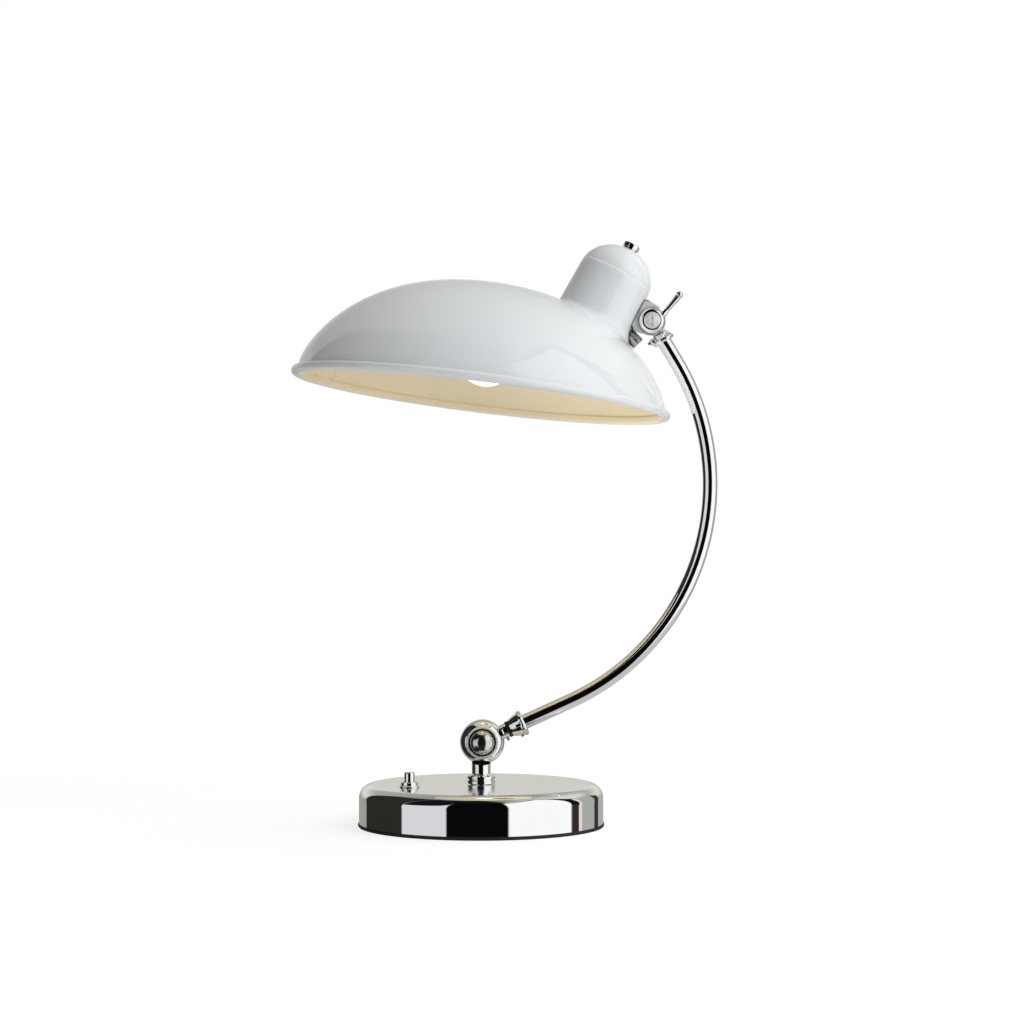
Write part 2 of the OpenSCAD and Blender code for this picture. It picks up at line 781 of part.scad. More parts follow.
module pivot_washer()
    color(zinc_steel)
        at_pivot_low()
            difference() {
                y_cyl(nut_af_r + 1, disc_out + run_gap, disc_out + run_gap + pivot_washer_t);
                y_cyl(bolt_r + seat_gap, 0, far);
            }

module pivot_nut()
    color(chrome)
        at_pivot_low()
            rotate([-90, 0, 0]) translate([0, 0, disc_out + pivot_washer_t + 2 * run_gap])
                difference() {
                    union() {
                        cylinder(r = nut_af_r, h = pivot_nut_t - 1.6, $fn = 6);
                        translate([0, 0, pivot_nut_t - 1.6 - e]) button_dome(nut_af_r * 0.86, 2.6);
                    }
                    translate([0, 0, -e]) cylinder(r = bolt_r + seat_gap, h = pivot_nut_t - 1);
                }

module ferrule_washer()
    color(black_plastic)
        along_arm_low() translate([0, 0, low_washer_s])
            difference() {
                cylinder(r = eye_neck_r + 0.7, h = ferrule_washer_t);
                translate([0, 0, -e]) cylinder(r = spigot_r + seat_gap, h = far);
            }

module lower_ferrule()
    color(chrome)
        along_arm_low() translate([0, 0, low_ferrule_s])
        difference() {
            rotate_extrude()
                difference() {
                    polygon([[0, 0], [eye_neck_r + 0.3, 0], [eye_neck_r + 0.8, 0.4], [eye_neck_r + 1.3, 1.6],
                             [low_ferrule_r - 1.9, low_ferrule_len * 0.4],
                             [low_ferrule_r - 1.1, low_ferrule_len * 0.68],
                             [low_ferrule_r - 0.2, low_ferrule_len * 0.74],
                             [low_ferrule_r, low_ferrule_len * 0.79],
                             [low_ferrule_r, low_ferrule_len - 1.4],
                             [low_ferrule_r - 0.7, low_ferrule_len - 0.4],
                             [low_ferrule_r - 1.7, low_ferrule_len], [0, low_ferrule_len]]);
                    translate([0, -e]) square([spigot_r + seat_gap, far]);
                    translate([0, ferrule_end_wall]) square([tube_r + seat_gap, far]);
                }
            translate([0, 0, low_screw_s - low_ferrule_s]) x_cyl(ferrule_screw_r + seat_gap, 0, far);
        }

// A round bar along the whole arm, from s0 past the lower pivot to s1 short of the upper.
// The bow is finer by bow_step and laps into the straights, so that the shapes join cleanly.
module arm_bar(r, s0, s1)
    union() {
        along_arm_low() translate([0, 0, s0]) cylinder(r = r, h = arm_low_straight - s0);
        translate([bow_centre[0], 0, bow_centre[1]])
            rotate([90, 0, 0]) rotate([0, 0, bow_from - bow_lap])
                rotate_extrude(angle = arm_bow_angle + 2 * bow_lap, $fn = 192)
                    translate([arm_bow_r, 0]) circle(r = r - bow_step, $fn = 64);
        along_arm_top() translate([0, 0, s1]) cylinder(r = r, h = arm_top_straight - s1);
    }

module arm_tube()
    color(chrome)
        difference() {
            arm_bar(tube_r, low_tube_s, top_tube_s);
            arm_bar(tube_r - tube_wall, low_tube_s - 1, top_tube_s - 1);
        }

module arm_lead()
    color(black_plastic) arm_bar(lead_r, low_washer_s, top_ferrule_start);

module upper_ferrule()
    color(chrome)
        along_arm_top()
            difference() {
                translate([0, 0, top_ferrule_start])
                    union() {
                        rotate_extrude()
                            polygon([[0, 0], [tube_r + 0.4, 0], [tube_r + 0.8, 0.5], [tube_r + 1, 1.4],
                                     [top_ferrule_r - 1, top_ferrule_len * 0.5],
                                     [top_ferrule_r - 0.2, top_ferrule_len * 0.62],
                                     [top_ferrule_r, top_ferrule_len * 0.7],
                                     [top_ferrule_r, top_ferrule_len - 1.2],
                                     [top_ferrule_r - 0.6, top_ferrule_len - 0.3],
                                     [top_ferrule_r - 1.4, top_ferrule_len], [0, top_ferrule_len]]);
                        // the boss round the set screw, on the shade's side
                        intersection() {
                            translate([0, 0, ferrule_screw_s - top_ferrule_start])
                                rotate([0, 90, 0]) round_top(ferrule_boss_r, ferrule_boss_out, 1.4);
                            cylinder(r = far, h = far);
                        }
                    }
                translate([0, 0, top_ferrule_start - e]) cylinder(r = spigot_r + seat_gap, h = far);
                translate([0, 0, top_tube_s - seat_gap]) cylinder(r = tube_r + seat_gap, h = far);
                translate([0, 0, ferrule_screw_s]) x_cyl(ferrule_screw_r + seat_gap, 0, far);
            }

module ferrule_screws()
    color(zinc_steel) {
        along_arm_top() translate([0, 0, ferrule_screw_s])
            x_cyl(ferrule_screw_r, tube_r + seat_gap, ferrule_screw_out);
        along_arm_low() translate([0, 0, low_screw_s])
            x_cyl(ferrule_screw_r, tube_r + seat_gap, low_screw_out);
    }

module arm_knuckle()
    color(chrome)
        difference() {
            union() {
                at_pivot_top() y_cyl(knuckle_r, -knuckle_t / 2, knuckle_t / 2);
                along_arm_top() cylinder(r = knuckle_t / 2 - 0.2, h = top_ferrule_start - seat_gap);
                along_arm_top() cylinder(r = spigot_r, h = top_ferrule_start + spigot_len);
            }
            at_pivot_top() y_cyl(bolt_r + run_gap, -far, far);
            along_arm_top() translate([0, 0, bolt_r + 2]) cylinder(r = lead_bore_r, h = far);
        }

// ---- bracket and clamp ----

// Radius of the neck's outside at height z in its own frame
function neck_r(z) = neck_top_r + (neck_foot_r - neck_top_r) * (shoulder_z - z) / (shoulder_z - neck_flare_z);

// The neck's outside below its shoulder, grown by a gap
module neck_body(gap)
    rotate_extrude()
        polygon([[0, neck_foot_z], [neck_r(neck_foot_z) + gap, neck_foot_z],
                 [neck_r(shoulder_z) + gap, shoulder_z], [0, shoulder_z]]);

// A cheek: round at the pivot with radius r, flat at its back from z0 to z1, and z2 high over the pivot
module cheek(r, z0, z1, z2, y0, y1)
    translate([0, y1, 0])
        rotate([90, 0, 0])
            linear_extrude(y1 - y0)
                union() {
                    translate([pivot_off_neck, 0]) circle(r = r);
                    polygon([[cheek_back, z0 + 2.6], [cheek_back + 3, z0], [pivot_off_neck - 3.4, z0],
                             [pivot_off_neck, -r], [pivot_off_neck + 1, 0], [pivot_off_neck + 1, z2 - 1],
                             [pivot_off_neck, z2], [cheek_back + 1.5, z1], [cheek_back, z1 - 1.5]]);
                }

module bracket()
    color(chrome)
        neck_frame()
            difference() {
                union() {
                    cheek(cheek_r, -cheek_r - 1.3, cheek_r + 1.2, cheek_r, -cheek_out, -cheek_in);
                    cheek(rear_cheek_r, -rear_cheek_r, rear_cheek_rise + 1, rear_cheek_rise, cheek_in, cheek_out);
                    translate([neck_r(0) - 4, -saddle_half, saddle_foot])
                        cube([saddle_face - neck_r(0) + 4, 2 * saddle_half, saddle_top - saddle_foot]);
                    translate([cheek_back, -cheek_out + e, saddle_foot + 1.4])
                        cube([saddle_face - cheek_back, 2 * cheek_out - 2 * e, cheek_r - saddle_foot - 3.2]);
                }
                neck_body(seat_gap);
                translate([0, 0, shoulder_z]) cylinder(r = neck_top_r + seat_gap, h = far);
                translate([pivot_off_neck, 0, 0]) y_cyl(bolt_r + run_gap, -far, far);
                for (z = bracket_screw_z)
                    translate([0, 0, z]) x_cyl(bracket_screw_r + seat_gap, 0, saddle_face - 0.6);
            }

module bracket_screws()
    color(zinc_steel)
        neck_frame()
            for (z = bracket_screw_z)
                translate([neck_r(z) - neck_wall - bracket_screw_head_t - 0.8, 0, z])
                    union() {
                        x_cyl(bracket_screw_head_r, 0, bracket_screw_head_t);
                        x_cyl(bracket_screw_r, 0, saddle_face - 1 - neck_r(z) + neck_wall
                              + bracket_screw_head_t + 0.8);
                    }

module clamp_bolt()
    color(chrome)
        at_pivot_top()
            rotate([-90, 0, 0])
                union() {
                    translate([0, 0, -nut_out + cap_recess_t + 0.4])
                        cylinder(r = bolt_r, h = nut_out - cap_recess_t - 0.4 + cheek_out + 1);
                    rotate(10) translate([0, 0, cheek_out + seat_gap])
                        cylinder(r = bolt_hex_r, h = bolt_hex_t, $fn = 6);
                    translate([0, 0, cheek_out + bolt_hex_t + seat_gap - e]) button_dome(bolt_hex_r * 0.84, 1);
                }

module clamp_nut()
    color(chrome)
        at_pivot_top()
            difference() {
                rotate([90, 0, 0])
                    difference() {
                        translate([0, 0, nut_in]) convex_disc(clamp_nut_r, clamp_nut_t, 3.2);
                        cylinder(r = bolt_r + run_gap, h = nut_out - cap_recess_t);
                        translate([0, 0, nut_out - cap_recess_t]) cylinder(r = cap_recess_r, h = far);
                    }
                lever_line() cylinder(r = lever_rod_r + seat_gap, h = far);
            }

module clamp_cap()
    color(chrome)
        at_pivot_top()
            rotate([90, 0, 0])
                translate([0, 0, nut_out - cap_recess_t + seat_gap])
                    difference() {
                        union() {
                            cylinder(r = cap_recess_r - seat_gap, h = cap_recess_t + 0.2);
                            translate([0, 0, cap_recess_t + 0.2 - e])
                                button_dome(cap_recess_r - seat_gap, clamp_cap_h - 1);
                        }
                        translate([-0.5, -far, clamp_cap_h - 1]) cube([1, 2 * far, far]);
                    }

// The lever's own axis as Z, starting level with the pivot
module lever_line()
    rotate([0, 90 - lever_angle, 0]) translate([lever_side, lever_y, bolt_r + 1]) children();

module clamp_lever()
    color(chrome)
        at_pivot_top()
            difference() {
                lever_line() {
                    cylinder(r = lever_rod_r, h = clamp_nut_r + 2 - bolt_r - 1);
                    translate([0, 0, clamp_nut_r + 2 - bolt_r - 1 - e])
                        cylinder(r1 = lever_rod_r, r2 = lever_ball_r - 0.3, h = lever_reach - clamp_nut_r - 2 + e);
                    translate([0, 0, clamp_nut_r - bolt_r - 1.6])
                        cylinder(r1 = lever_root_r, r2 = lever_rod_r, h = lever_root_len);
                    translate([0, 0, lever_reach - bolt_r - 1]) sphere(r = lever_ball_r, $fn = 48);
                }
                // the flared root sits on the nut's round side
                y_cyl_ring(clamp_nut_r + seat_gap);
            }

// Takes the flare, but not the rod, off inside the nut's side
module y_cyl_ring(r)
    difference() {
        y_cyl(r, -far, 0);
        lever_line() translate([0, 0, -1]) cylinder(r = lever_rod_r, h = far);
    }

// ---- shade ----

// The dome's outline as points from the rim's wall up to the axis, moved in by t
function dome_points(t) = [
    for (i = [0 : dome_steps])
        let (a = 90 * i / dome_steps)
        [i == dome_steps ? 0 : (wall_foot_r - t) * pow(cos(a), dome_round_r),
         wall_foot_z + (shade_h - t - wall_foot_z) * pow(sin(a), dome_round_z)]];

// The dome, solid down to z0 and moved in by t
module dome_solid(t, z0)
    rotate_extrude($fn = 192)
        polygon(concat([[0, z0], [wall_foot_r - t, z0]], dome_points(t)));

// The neck, solid and moved in by t, from its foot to its rounded top
module neck_solid(t)
    rotate_extrude()
        polygon(concat([[0, neck_foot_z], [neck_r(neck_foot_z) - t, neck_foot_z]],
            [for (i = [0 : crown_steps])
                let (a = 90 * i / crown_steps)
                [i == crown_steps ? 0 : (neck_top_r - t) * cos(a), shoulder_z + (crown_h - t) * sin(a)]]));

module in_neck_of_shade()
    translate([shade_axis_off, 0, pivot_over_rim])
        rotate([0, neck_lean, 0]) translate([-pivot_off_neck, 0, 0]) children();

module shade_dome()
    color(white_enamel)
        shade_frame()
            union() {
                difference() {
                    union() {
                        dome_solid(0, rim_bead_r);
                        in_neck_of_shade() neck_lower(0);
                    }
                    dome_solid(shade_wall, -1);
                    in_neck_of_shade() {
                        neck_lower(neck_wall);
                        translate([0, 0, seam_z - 1]) cylinder(r = neck_top_r - neck_wall - 3, h = 2);
                        for (z = bracket_screw_z)
                            translate([0, 0, z]) x_cyl(bracket_screw_r + seat_gap, 0, far / 8);
                        translate([0, 0, -lead_bush_drop]) x_cyl(bush_hole_r + seat_gap, 0, far / 8);
                    }
                    translate([0, 0, -far]) cylinder(r = wall_foot_r - shade_wall, h = far + 1);
                }
                rotate_extrude($fn = 192) translate([rim_mid_r, rim_bead_r]) circle(r = rim_bead_r, $fn = 48);
            }

// The neck below the cap's seam
module neck_lower(t)
    intersection() {
        neck_solid(t);
        translate([0, 0, neck_foot_z]) cylinder(r = far / 4, h = seam_z - neck_foot_z);
    }

// The crown above the seam, with a lip that drops inside the neck
module neck_cap()
    color(white_enamel)
        neck_frame()
            difference() {
                union() {
                    difference() {
                        neck_solid(0);
                        translate([0, 0, -far + seam_z + seat_gap]) cylinder(r = far / 4, h = far);
                    }
                    intersection() {
                        neck_solid(neck_wall + seat_gap + 0.05);
                        translate([0, 0, seam_z - cap_lip_h]) cylinder(r = far / 4, h = cap_lip_h + 2);
                    }
                }
                neck_solid(2 * neck_wall + 0.2);
                cylinder(r = stud_r + stud_hole_gap, h = far);
            }

module finial_nut()
    color(chrome)
        neck_frame()
            translate([0, 0, crown_top - 0.2])
                difference() {
                    union() {
                        cylinder(r = finial_r - 1, h = 1.2);
                        translate([0, 0, 1]) round_top(finial_r, finial_h - 1, 0.7);
                    }
                    translate([0, 0, -e]) cylinder(r = stud_r + seat_gap, h = finial_h - 1.2);
                    cap_outside();
                }

// The crown's outside, as seen from the finial's foot
module cap_outside() translate([0, 0, -crown_top + 0.2]) neck_solid(-seat_gap);

module finial_stud()
    color(zinc_steel)
        neck_frame()
            translate([0, 0, strap_top_z - strap_t - 1.5])
                cylinder(r = stud_r, h = crown_top + finial_h - 1.8 - strap_top_z + strap_t + 1.5);

// ---- lampholder ----

// The strap that hangs the holder in the neck: a flat under the stud, a leg, and a flat behind the holder
module holder_bracket()
    color(zinc_steel)
        neck_frame()
            difference() {
                translate([0, strap_half, 0])
                    rotate([90, 0, 0])
                        linear_extrude(2 * strap_half)
                            union() {
                                translate([-strap_half, strap_top_z - strap_t])
                                    square([strap_half + strap_leg_x, strap_t]);
                                strap_run([strap_leg_x - strap_t / 2, strap_top_z - strap_t / 2], strap_knee);
                                strap_run(strap_knee, strap_tip);
                            }
                cylinder(r = stud_r + seat_gap, h = far);
                translate([strap_mid[0], 0, strap_mid[1]]) rotate([0, holder_lean - neck_lean, 0])
                    translate([0, 0, -10]) cylinder(r = nipple_r + seat_gap, h = 20);
            }

strap_side = [cos(holder_lean - neck_lean), -sin(holder_lean - neck_lean)];
strap_mid = holder_point(strap_s + strap_t / 2);
strap_tip = strap_mid - 10 * strap_side;
strap_knee = strap_mid + ((strap_leg_x - strap_t / 2 - strap_mid[0]) / strap_side[0]) * strap_side;

// A straight run of the strap's section between two points
module strap_run(a, b)
    let (length = norm(b - a))
    translate(a) rotate(atan2(b[1] - a[1], b[0] - a[0]))
        translate([0, -strap_t / 2]) square([length, strap_t]);

module holder_nipple()
    color(zinc_steel)
        holder_frame()
            difference() {
                union() {
                    translate([0, 0, holder_end - shell_floor - 2])
                        cylinder(r = nipple_r, h = nipple_end - holder_end + shell_floor + 2);
                    translate([0, 0, holder_end + seat_gap])
                        cylinder(r = nipple_nut_r, h = strap_s - holder_end - 2 * seat_gap, $fn = 6);
                    translate([0, 0, strap_s + strap_t + seat_gap])
                        cylinder(r = nipple_nut_r, h = nipple_nut_t, $fn = 6);
                }
                translate([0, 0, holder_start]) cylinder(r = nipple_bore_r, h = far);
            }

module lampholder_shell()
    color(black_plastic)
        holder_frame()
            difference() {
                union() {
                    translate([0, 0, holder_start]) cylinder(r = holder_r, h = holder_len - 3);
                    translate([0, 0, holder_end - 3 - e])
                        cylinder(r1 = holder_r, r2 = holder_r - 2.5, h = 3 + e);
                }
                translate([0, 0, holder_start - e])
                    cylinder(r = holder_r - shell_wall, h = holder_len - shell_floor - 1);
                cylinder(r = nipple_r + seat_gap, h = far);
            }

module lampholder_core()
    color(white_plastic)
        holder_frame()
            difference() {
                translate([0, 0, core_end - core_len]) cylinder(r = holder_r - shell_wall - seat_gap, h = core_len);
                translate([0, 0, core_end - core_len - e])
                    cylinder(r = cap_r + run_gap + sleeve_wall + seat_gap, h = core_len - 12);
                translate([0, 0, cap_end]) cylinder(r = tip_r + 2, h = core_end - cap_end - 3);
                for (side = [-1, 1])
                    translate([side * 7, 0, 0]) cylinder(r = 1.4, h = far);
            }

// The threaded brass sleeve that takes the bulb's cap
module screw_sleeve()
    color(brass)
        holder_frame()
            difference() {
                translate([0, 0, holder_start + 3])
                    cylinder(r = cap_r + run_gap + sleeve_wall, h = core_end - 12 - holder_start - 3 - seat_gap);
                cylinder(r = cap_r + run_gap, h = far);
            }

module centre_contact()
    color(brass)
        holder_frame()
            translate([0, 0, cap_end + 1.4 + tip_h + seat_gap])
                cylinder(r = tip_r, h = core_end - 3 - cap_end - 1.4 - tip_h - 2 * seat_gap);

module bulb_cap()
    color(brass)
        holder_frame()
            difference() {
                union() {
                    translate([0, 0, cap_start + 1.6]) cylinder(r = cap_r, h = cap_len - 3.6);
                    translate([0, 0, cap_start]) cylinder(r1 = cap_r + 1.4, r2 = cap_r, h = 1.6 + e);
                    translate([0, 0, cap_end - 2 - e]) cylinder(r1 = cap_r, r2 = tip_r + 1, h = 2 + e);
                }
                translate([0, 0, cap_start - e]) cylinder(r = cap_r - cap_wall, h = cap_len - 3);
            }

module bulb_contact()
    color(zinc_steel)
        holder_frame()
            union() {
                translate([0, 0, cap_end]) cylinder(r1 = tip_r + 1, r2 = tip_r, h = 1.4);
                translate([0, 0, cap_end + 1.4 - e]) button_dome(tip_r, tip_h);
            }

// Half of the bulb's outline, moved in by t: a ball and the neck that runs to its cap
module bulb_outline(t)
    intersection() {
        union() {
            circle(r = bulb_r - t, $fn = 96);
            polygon([[0, 0], [(bulb_r - t) * cos(38), (bulb_r - t) * sin(38)],
                     [bulb_r * 0.62 - t, bulb_r * 0.86], [bulb_r * 0.5 - t, bulb_r * 1.03],
                     [cap_r + 1.9 - t, bulb_r * 1.2], [cap_r + 1.4 - t, cap_start], [0, cap_start]]);
        }
        translate([0, -far]) square([far, 2 * far]);
    }

module bulb_glass()
    color(opal)
        holder_frame()
            intersection() {
                rotate_extrude()
                    difference() {
                        bulb_outline(0);
                        bulb_outline(glass_wall);
                    }
                translate([0, 0, cap_start - seat_gap - far]) cylinder(r = far / 2, h = far);
            }

// ---- lead bush ----

module lead_bush()
    color(chrome)
        difference() {
            neck_frame() translate([0, 0, -lead_bush_drop])
                rotate([0, 90, 0])
                    rotate_extrude()
                        difference() {
                            lead_bush_outline(neck_r(-lead_bush_drop));
                            square([lead_bore_r, far]);
                        }
            difference() {
                union() {
                    neck_frame() neck_body(seat_gap);
                    shade_frame() dome_solid(-seat_gap, rim_bead_r);
                }
                neck_frame() translate([0, 0, -lead_bush_drop]) x_cyl(bush_hole_r, 0, far);
            }
        }

// Half of the bush's section: a tail through the wall, then a barrel with a rounded end
module lead_bush_outline(wall_x)
    polygon([[0, wall_x - bush_tail], [bush_hole_r, wall_x - bush_tail], [bush_hole_r, wall_x - 1.2],
             [lead_bush_r - 1, wall_x - 1.2], [lead_bush_r - 0.8, wall_x + 1.6],
             [lead_bush_r, wall_x + 2.6], [lead_bush_r, wall_x + lead_bush_len - 3.4],
             [lead_bush_r - 0.5, wall_x + lead_bush_len - 1.8], [lead_bush_r - 1.4, wall_x + lead_bush_len - 0.5],
             [lead_bush_r - 2.1, wall_x + lead_bush_len], [0, wall_x + lead_bush_len]]);

module lead_bush_nut()
    color(zinc_steel)
        neck_frame()
            translate([neck_r(-lead_bush_drop) - neck_wall - 0.9 - bush_nut_t, 0, -lead_bush_drop])
                difference() {
                    rotate([0, 90, 0]) cylinder(r = bush_nut_r, h = bush_nut_t, $fn = 6);
                    x_cyl(bush_hole_r + seat_gap, -1, bush_nut_t + 1);
                }

base_cover();
base_pad();
bottom_plate();
base_weight();
cover_pillars();
base_screws();
cord_grommet();
terminal_block();
terminal_screws();
switch_case();
switch_neck();
switch_nut();
post_bush();
stop_peg();
switch_button();
post();
post_washer();
post_nut();
stop_washer();
arm_eye();
hinge_washer();
pivot_bolt();
pivot_washer();
pivot_nut();
neck_screw();
ferrule_washer();
lower_ferrule();
arm_tube();
arm_lead();
upper_ferrule();
ferrule_screws();
arm_knuckle();
bracket();
bracket_screws();
clamp_bolt();
shade_dome();
neck_cap();
finial_nut();
finial_stud();
holder_bracket();
holder_nipple();
lampholder_shell();
lampholder_core();
screw_sleeve();
centre_contact();
bulb_cap();
bulb_contact();
bulb_glass();
lead_bush();
lead_bush_nut();
clamp_nut();
clamp_cap();
clamp_lever();
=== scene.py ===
"""Dome shade desk lamp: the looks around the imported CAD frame.

The pieces are typed in millimetres and scaled once, by MM, when a mesh is made. The camera, the studio and
the materials are in metres. The frame is the CAD's: the origin is the centre of the base pad's underside, +X
points to the arm's bow, -Y to the front and +Z up.
"""

import json
import math

import bpy
import numpy as np
from mathutils import Matrix, Vector


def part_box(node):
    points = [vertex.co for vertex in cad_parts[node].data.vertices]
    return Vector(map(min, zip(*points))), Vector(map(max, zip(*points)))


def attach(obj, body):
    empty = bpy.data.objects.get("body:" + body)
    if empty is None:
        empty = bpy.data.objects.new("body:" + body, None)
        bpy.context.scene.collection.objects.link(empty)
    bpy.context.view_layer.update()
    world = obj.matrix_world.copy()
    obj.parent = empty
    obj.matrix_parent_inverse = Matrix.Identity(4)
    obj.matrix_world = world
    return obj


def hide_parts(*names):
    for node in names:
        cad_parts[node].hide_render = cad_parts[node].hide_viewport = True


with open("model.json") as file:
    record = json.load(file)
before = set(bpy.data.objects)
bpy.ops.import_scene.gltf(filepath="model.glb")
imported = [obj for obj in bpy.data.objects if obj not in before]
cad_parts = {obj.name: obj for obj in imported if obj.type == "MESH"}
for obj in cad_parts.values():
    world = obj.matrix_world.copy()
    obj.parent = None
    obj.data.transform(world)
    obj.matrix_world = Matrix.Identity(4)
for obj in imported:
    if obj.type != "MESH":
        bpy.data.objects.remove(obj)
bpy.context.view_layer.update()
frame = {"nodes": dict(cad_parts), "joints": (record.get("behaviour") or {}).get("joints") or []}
nodes = frame["nodes"]
MM = 0.001


# ---- camera ----

PHOTO_PX = 1024
FOCAL_PX = 2069.19
SHIFT_PX = 64.305
SENSOR_MM = 36
CAMERA_PLACE = (0.02283, -1.5353, 0.1847)

camera_data = bpy.data.cameras.new("camera")
camera_data.sensor_width = SENSOR_MM
camera_data.lens = FOCAL_PX * SENSOR_MM / PHOTO_PX
camera_data.shift_y = SHIFT_PX / PHOTO_PX
camera_data.clip_start = 0.05
camera_data.clip_end = 50
camera = bpy.data.objects.new("camera", camera_data)
camera.location = CAMERA_PLACE
camera.rotation_euler = (math.radians(90), 0, 0)
bpy.context.scene.collection.objects.link(camera)
bpy.context.scene.camera = camera
bpy.context.scene.view_settings.view_transform = "Standard"


# ---- colours and node helpers ----


def srgb(r, g, b):
    """A colour read as 0 to 255 in a picture, as the linear colour that a shader takes."""
    out = []
    for v in (r, g, b):
        v /= 255
        out.append(v / 12.92 if v <= 0.04045 else ((v + 0.055) / 1.055) ** 2.4)
    return (*out, 1)


def grey(v):
    return (v, v, v, 1)


WHITE = grey(1)
BLACK = grey(0)


class Tree:
    """Short calls for a node tree. A value is a number, a colour or another node's output."""

    def __init__(self, tree):
        self.tree = tree
        tree.nodes.clear()

    def add(self, kind, **props):
        node = self.tree.nodes.new(kind)
        for k, v in props.items():
            setattr(node, k, v)
        return node

    def set(self, socket, value):
        if isinstance(value, bpy.types.NodeSocket):
            self.tree.links.new(value, socket)
        else:
            socket.default_value = value

    def out(self, kind, *values, **props):
        """A new node's first output, with the node's inputs set in their order."""
        node = self.add(kind, **props)
        for socket, value in zip(node.inputs, values):
            self.set(socket, value)
        return node.outputs[0]

    def end(self, kind, shader):
        """The tree's output node, with the shader that it shows."""
        self.set(self.add(kind).inputs[0], shader)

    def math(self, operation, *values):
        return self.out("ShaderNodeMath", *values, operation=operation)

    def range(self, value, low, high, to_low=0.0, to_high=1.0):
        """A value from low to high, as one from to_low to to_high that stops there."""
        return self.out("ShaderNodeMapRange", value, low, high, to_low, to_high)

    def mix_shaders(self, factor, a, b):
        return self.out("ShaderNodeMixShader", factor, a, b)

    def mix(self, factor, a, b):
        """Two colours mixed."""
        node = self.add("ShaderNodeMix", data_type="RGBA")
        self.set(node.inputs[0], factor)
        self.set(node.inputs[6], a)
        self.set(node.inputs[7], b)
        return node.outputs[2]

    def ramp(self, value, stops):
        """A colour ramp: stops are (place from 0 to 1, linear colour)."""
        node = self.add("ShaderNodeValToRGB")
        elements = node.color_ramp.elements
        while len(elements) < len(stops):
            elements.new(1)
        for element, (place, colour) in zip(elements, stops):
            element.position = place
            element.color = colour
        self.set(node.inputs[0], value)
        return node.outputs[0]

    def noise(self, scale, detail, roughness=0.5, vector=None):
        node = self.add("ShaderNodeTexNoise")
        node.inputs["Scale"].default_value = scale
        node.inputs["Detail"].default_value = detail
        node.inputs["Roughness"].default_value = roughness
        if vector is not None:
            self.set(node.inputs["Vector"], vector)
        return node.outputs["Fac"]

    def split(self, vector):
        """A vector's x, y and z."""
        node = self.add("ShaderNodeSeparateXYZ")
        self.set(node.inputs[0], vector)
        return node.outputs


# ---- the studio: world, floor, lamps ----

# Azimuths are in degrees from the front (-Y) towards +X, and elevations in degrees above level.

# Boards that stand round the lamp, as (azimuth, tone). A tone holds until the next one's azimuth.
BOARDS = [
    (-180, srgb(154, 154, 151)),
    (-136, srgb(40, 41, 37)),
    (-78, srgb(212, 214, 218)),
    (-32, srgb(8, 8, 9)),
    (26.5, (0.95, 0.965, 0.96, 1)),
    (94, srgb(50, 42, 40)),
    (105, srgb(228, 220, 210)),
    (109.5, srgb(168, 168, 165)),
    (133.5, srgb(50, 50, 50)),
    (144, srgb(170, 170, 168)),
    (180, srgb(158, 158, 155)),
]
BOARD_EDGE = 0.35  # half the width of the step between two boards

# The boards' top edges, as (azimuth, elevation)
BOARD_TOPS = [
    (-180, 0), (-137, 0), (-135, 88), (-78.6, 88), (-78, 13), (-54, 19.5), (-40, 25), (-32.2, 34),
    (-31.8, 54), (26.3, 54), (26.7, 47), (60, 56), (88, 58.5), (93.8, 52), (94.2, 2), (103.8, 2),
    (104.2, 30), (134, 22), (143, 12), (150, 0), (180, 0),
]
# The upper edge of the dark gap over the boards
GAP_TOPS = [
    (-180, 0), (-139, 0), (-134, 27), (-128, 46), (-105, 60), (-86, 68), (-50, 74), (-17, 82), (10, 76),
    (26, 62), (32, 51), (60, 59), (88, 61.5), (98, 57), (104, 41), (112, 27), (134, 22.5), (143, 12.5),
    (150, 0), (180, 0),
]
GAP = srgb(20, 20, 20)

# What stands over the gap, as (elevation, tone), with its tones to the right and at the left front, and
# what is below
OVERHEAD = [
    (5.66, srgb(186, 187, 181)),
    (5.78, srgb(204, 199, 192)),
    (6.3, srgb(216, 214, 207)),
    (14, srgb(212, 211, 205)),
    (26, srgb(168, 168, 163)),
    (50, srgb(152, 152, 147)),
    (90, srgb(140, 140, 136)),
]
OVERHEAD_RIGHT = srgb(216, 216, 212)
OVERHEAD_LEFT_FRONT = srgb(104, 104, 101)
BELOW = srgb(192, 192, 190)

# Where they fade, on x or y from -1 to 1 or in degrees of elevation
RIGHT_FADE, HIGH_FADE = (0.25, 0.6), (24.0, 34.0)
FRONT_FADE, LEFT_FADE = (-0.35, 0.05), (0.15, 0.35)
BELOW_FADE = (-29.0, -24.0)
BOARD_BLUR, GAP_BLUR, WALL_BLUR = 0.4, 0.6, 0.8

ROOM_LEVEL = 1.08
LIGHT_FADE = (-0.85, 1.0)
RIGHT_LIGHT = (1.22, 1.24, 1.26, 1)


def around(azimuth):
    """An azimuth as a place from 0 to 1 on a ramp."""
    return azimuth / 360 + 0.5


def board_stops():
    """The ramp stops of the boards' tones, with a narrow step between two tones."""
    start, last = BOARDS[0]
    stops = [(around(start), last)]
    for start, tone in BOARDS[1:]:
        stops.append((around(start - BOARD_EDGE), last))
        stops.append((around(start + BOARD_EDGE), tone))
        last = tone
    return stops


def edge_height(t, place, edge):
    """The elevation of an edge of (azimuth, elevation) points at a place on the ramp."""
    stops = [(around(azimuth), grey(elevation / 90)) for azimuth, elevation in edge]
    return t.math("MULTIPLY", t.ramp(place, stops), 90.0)


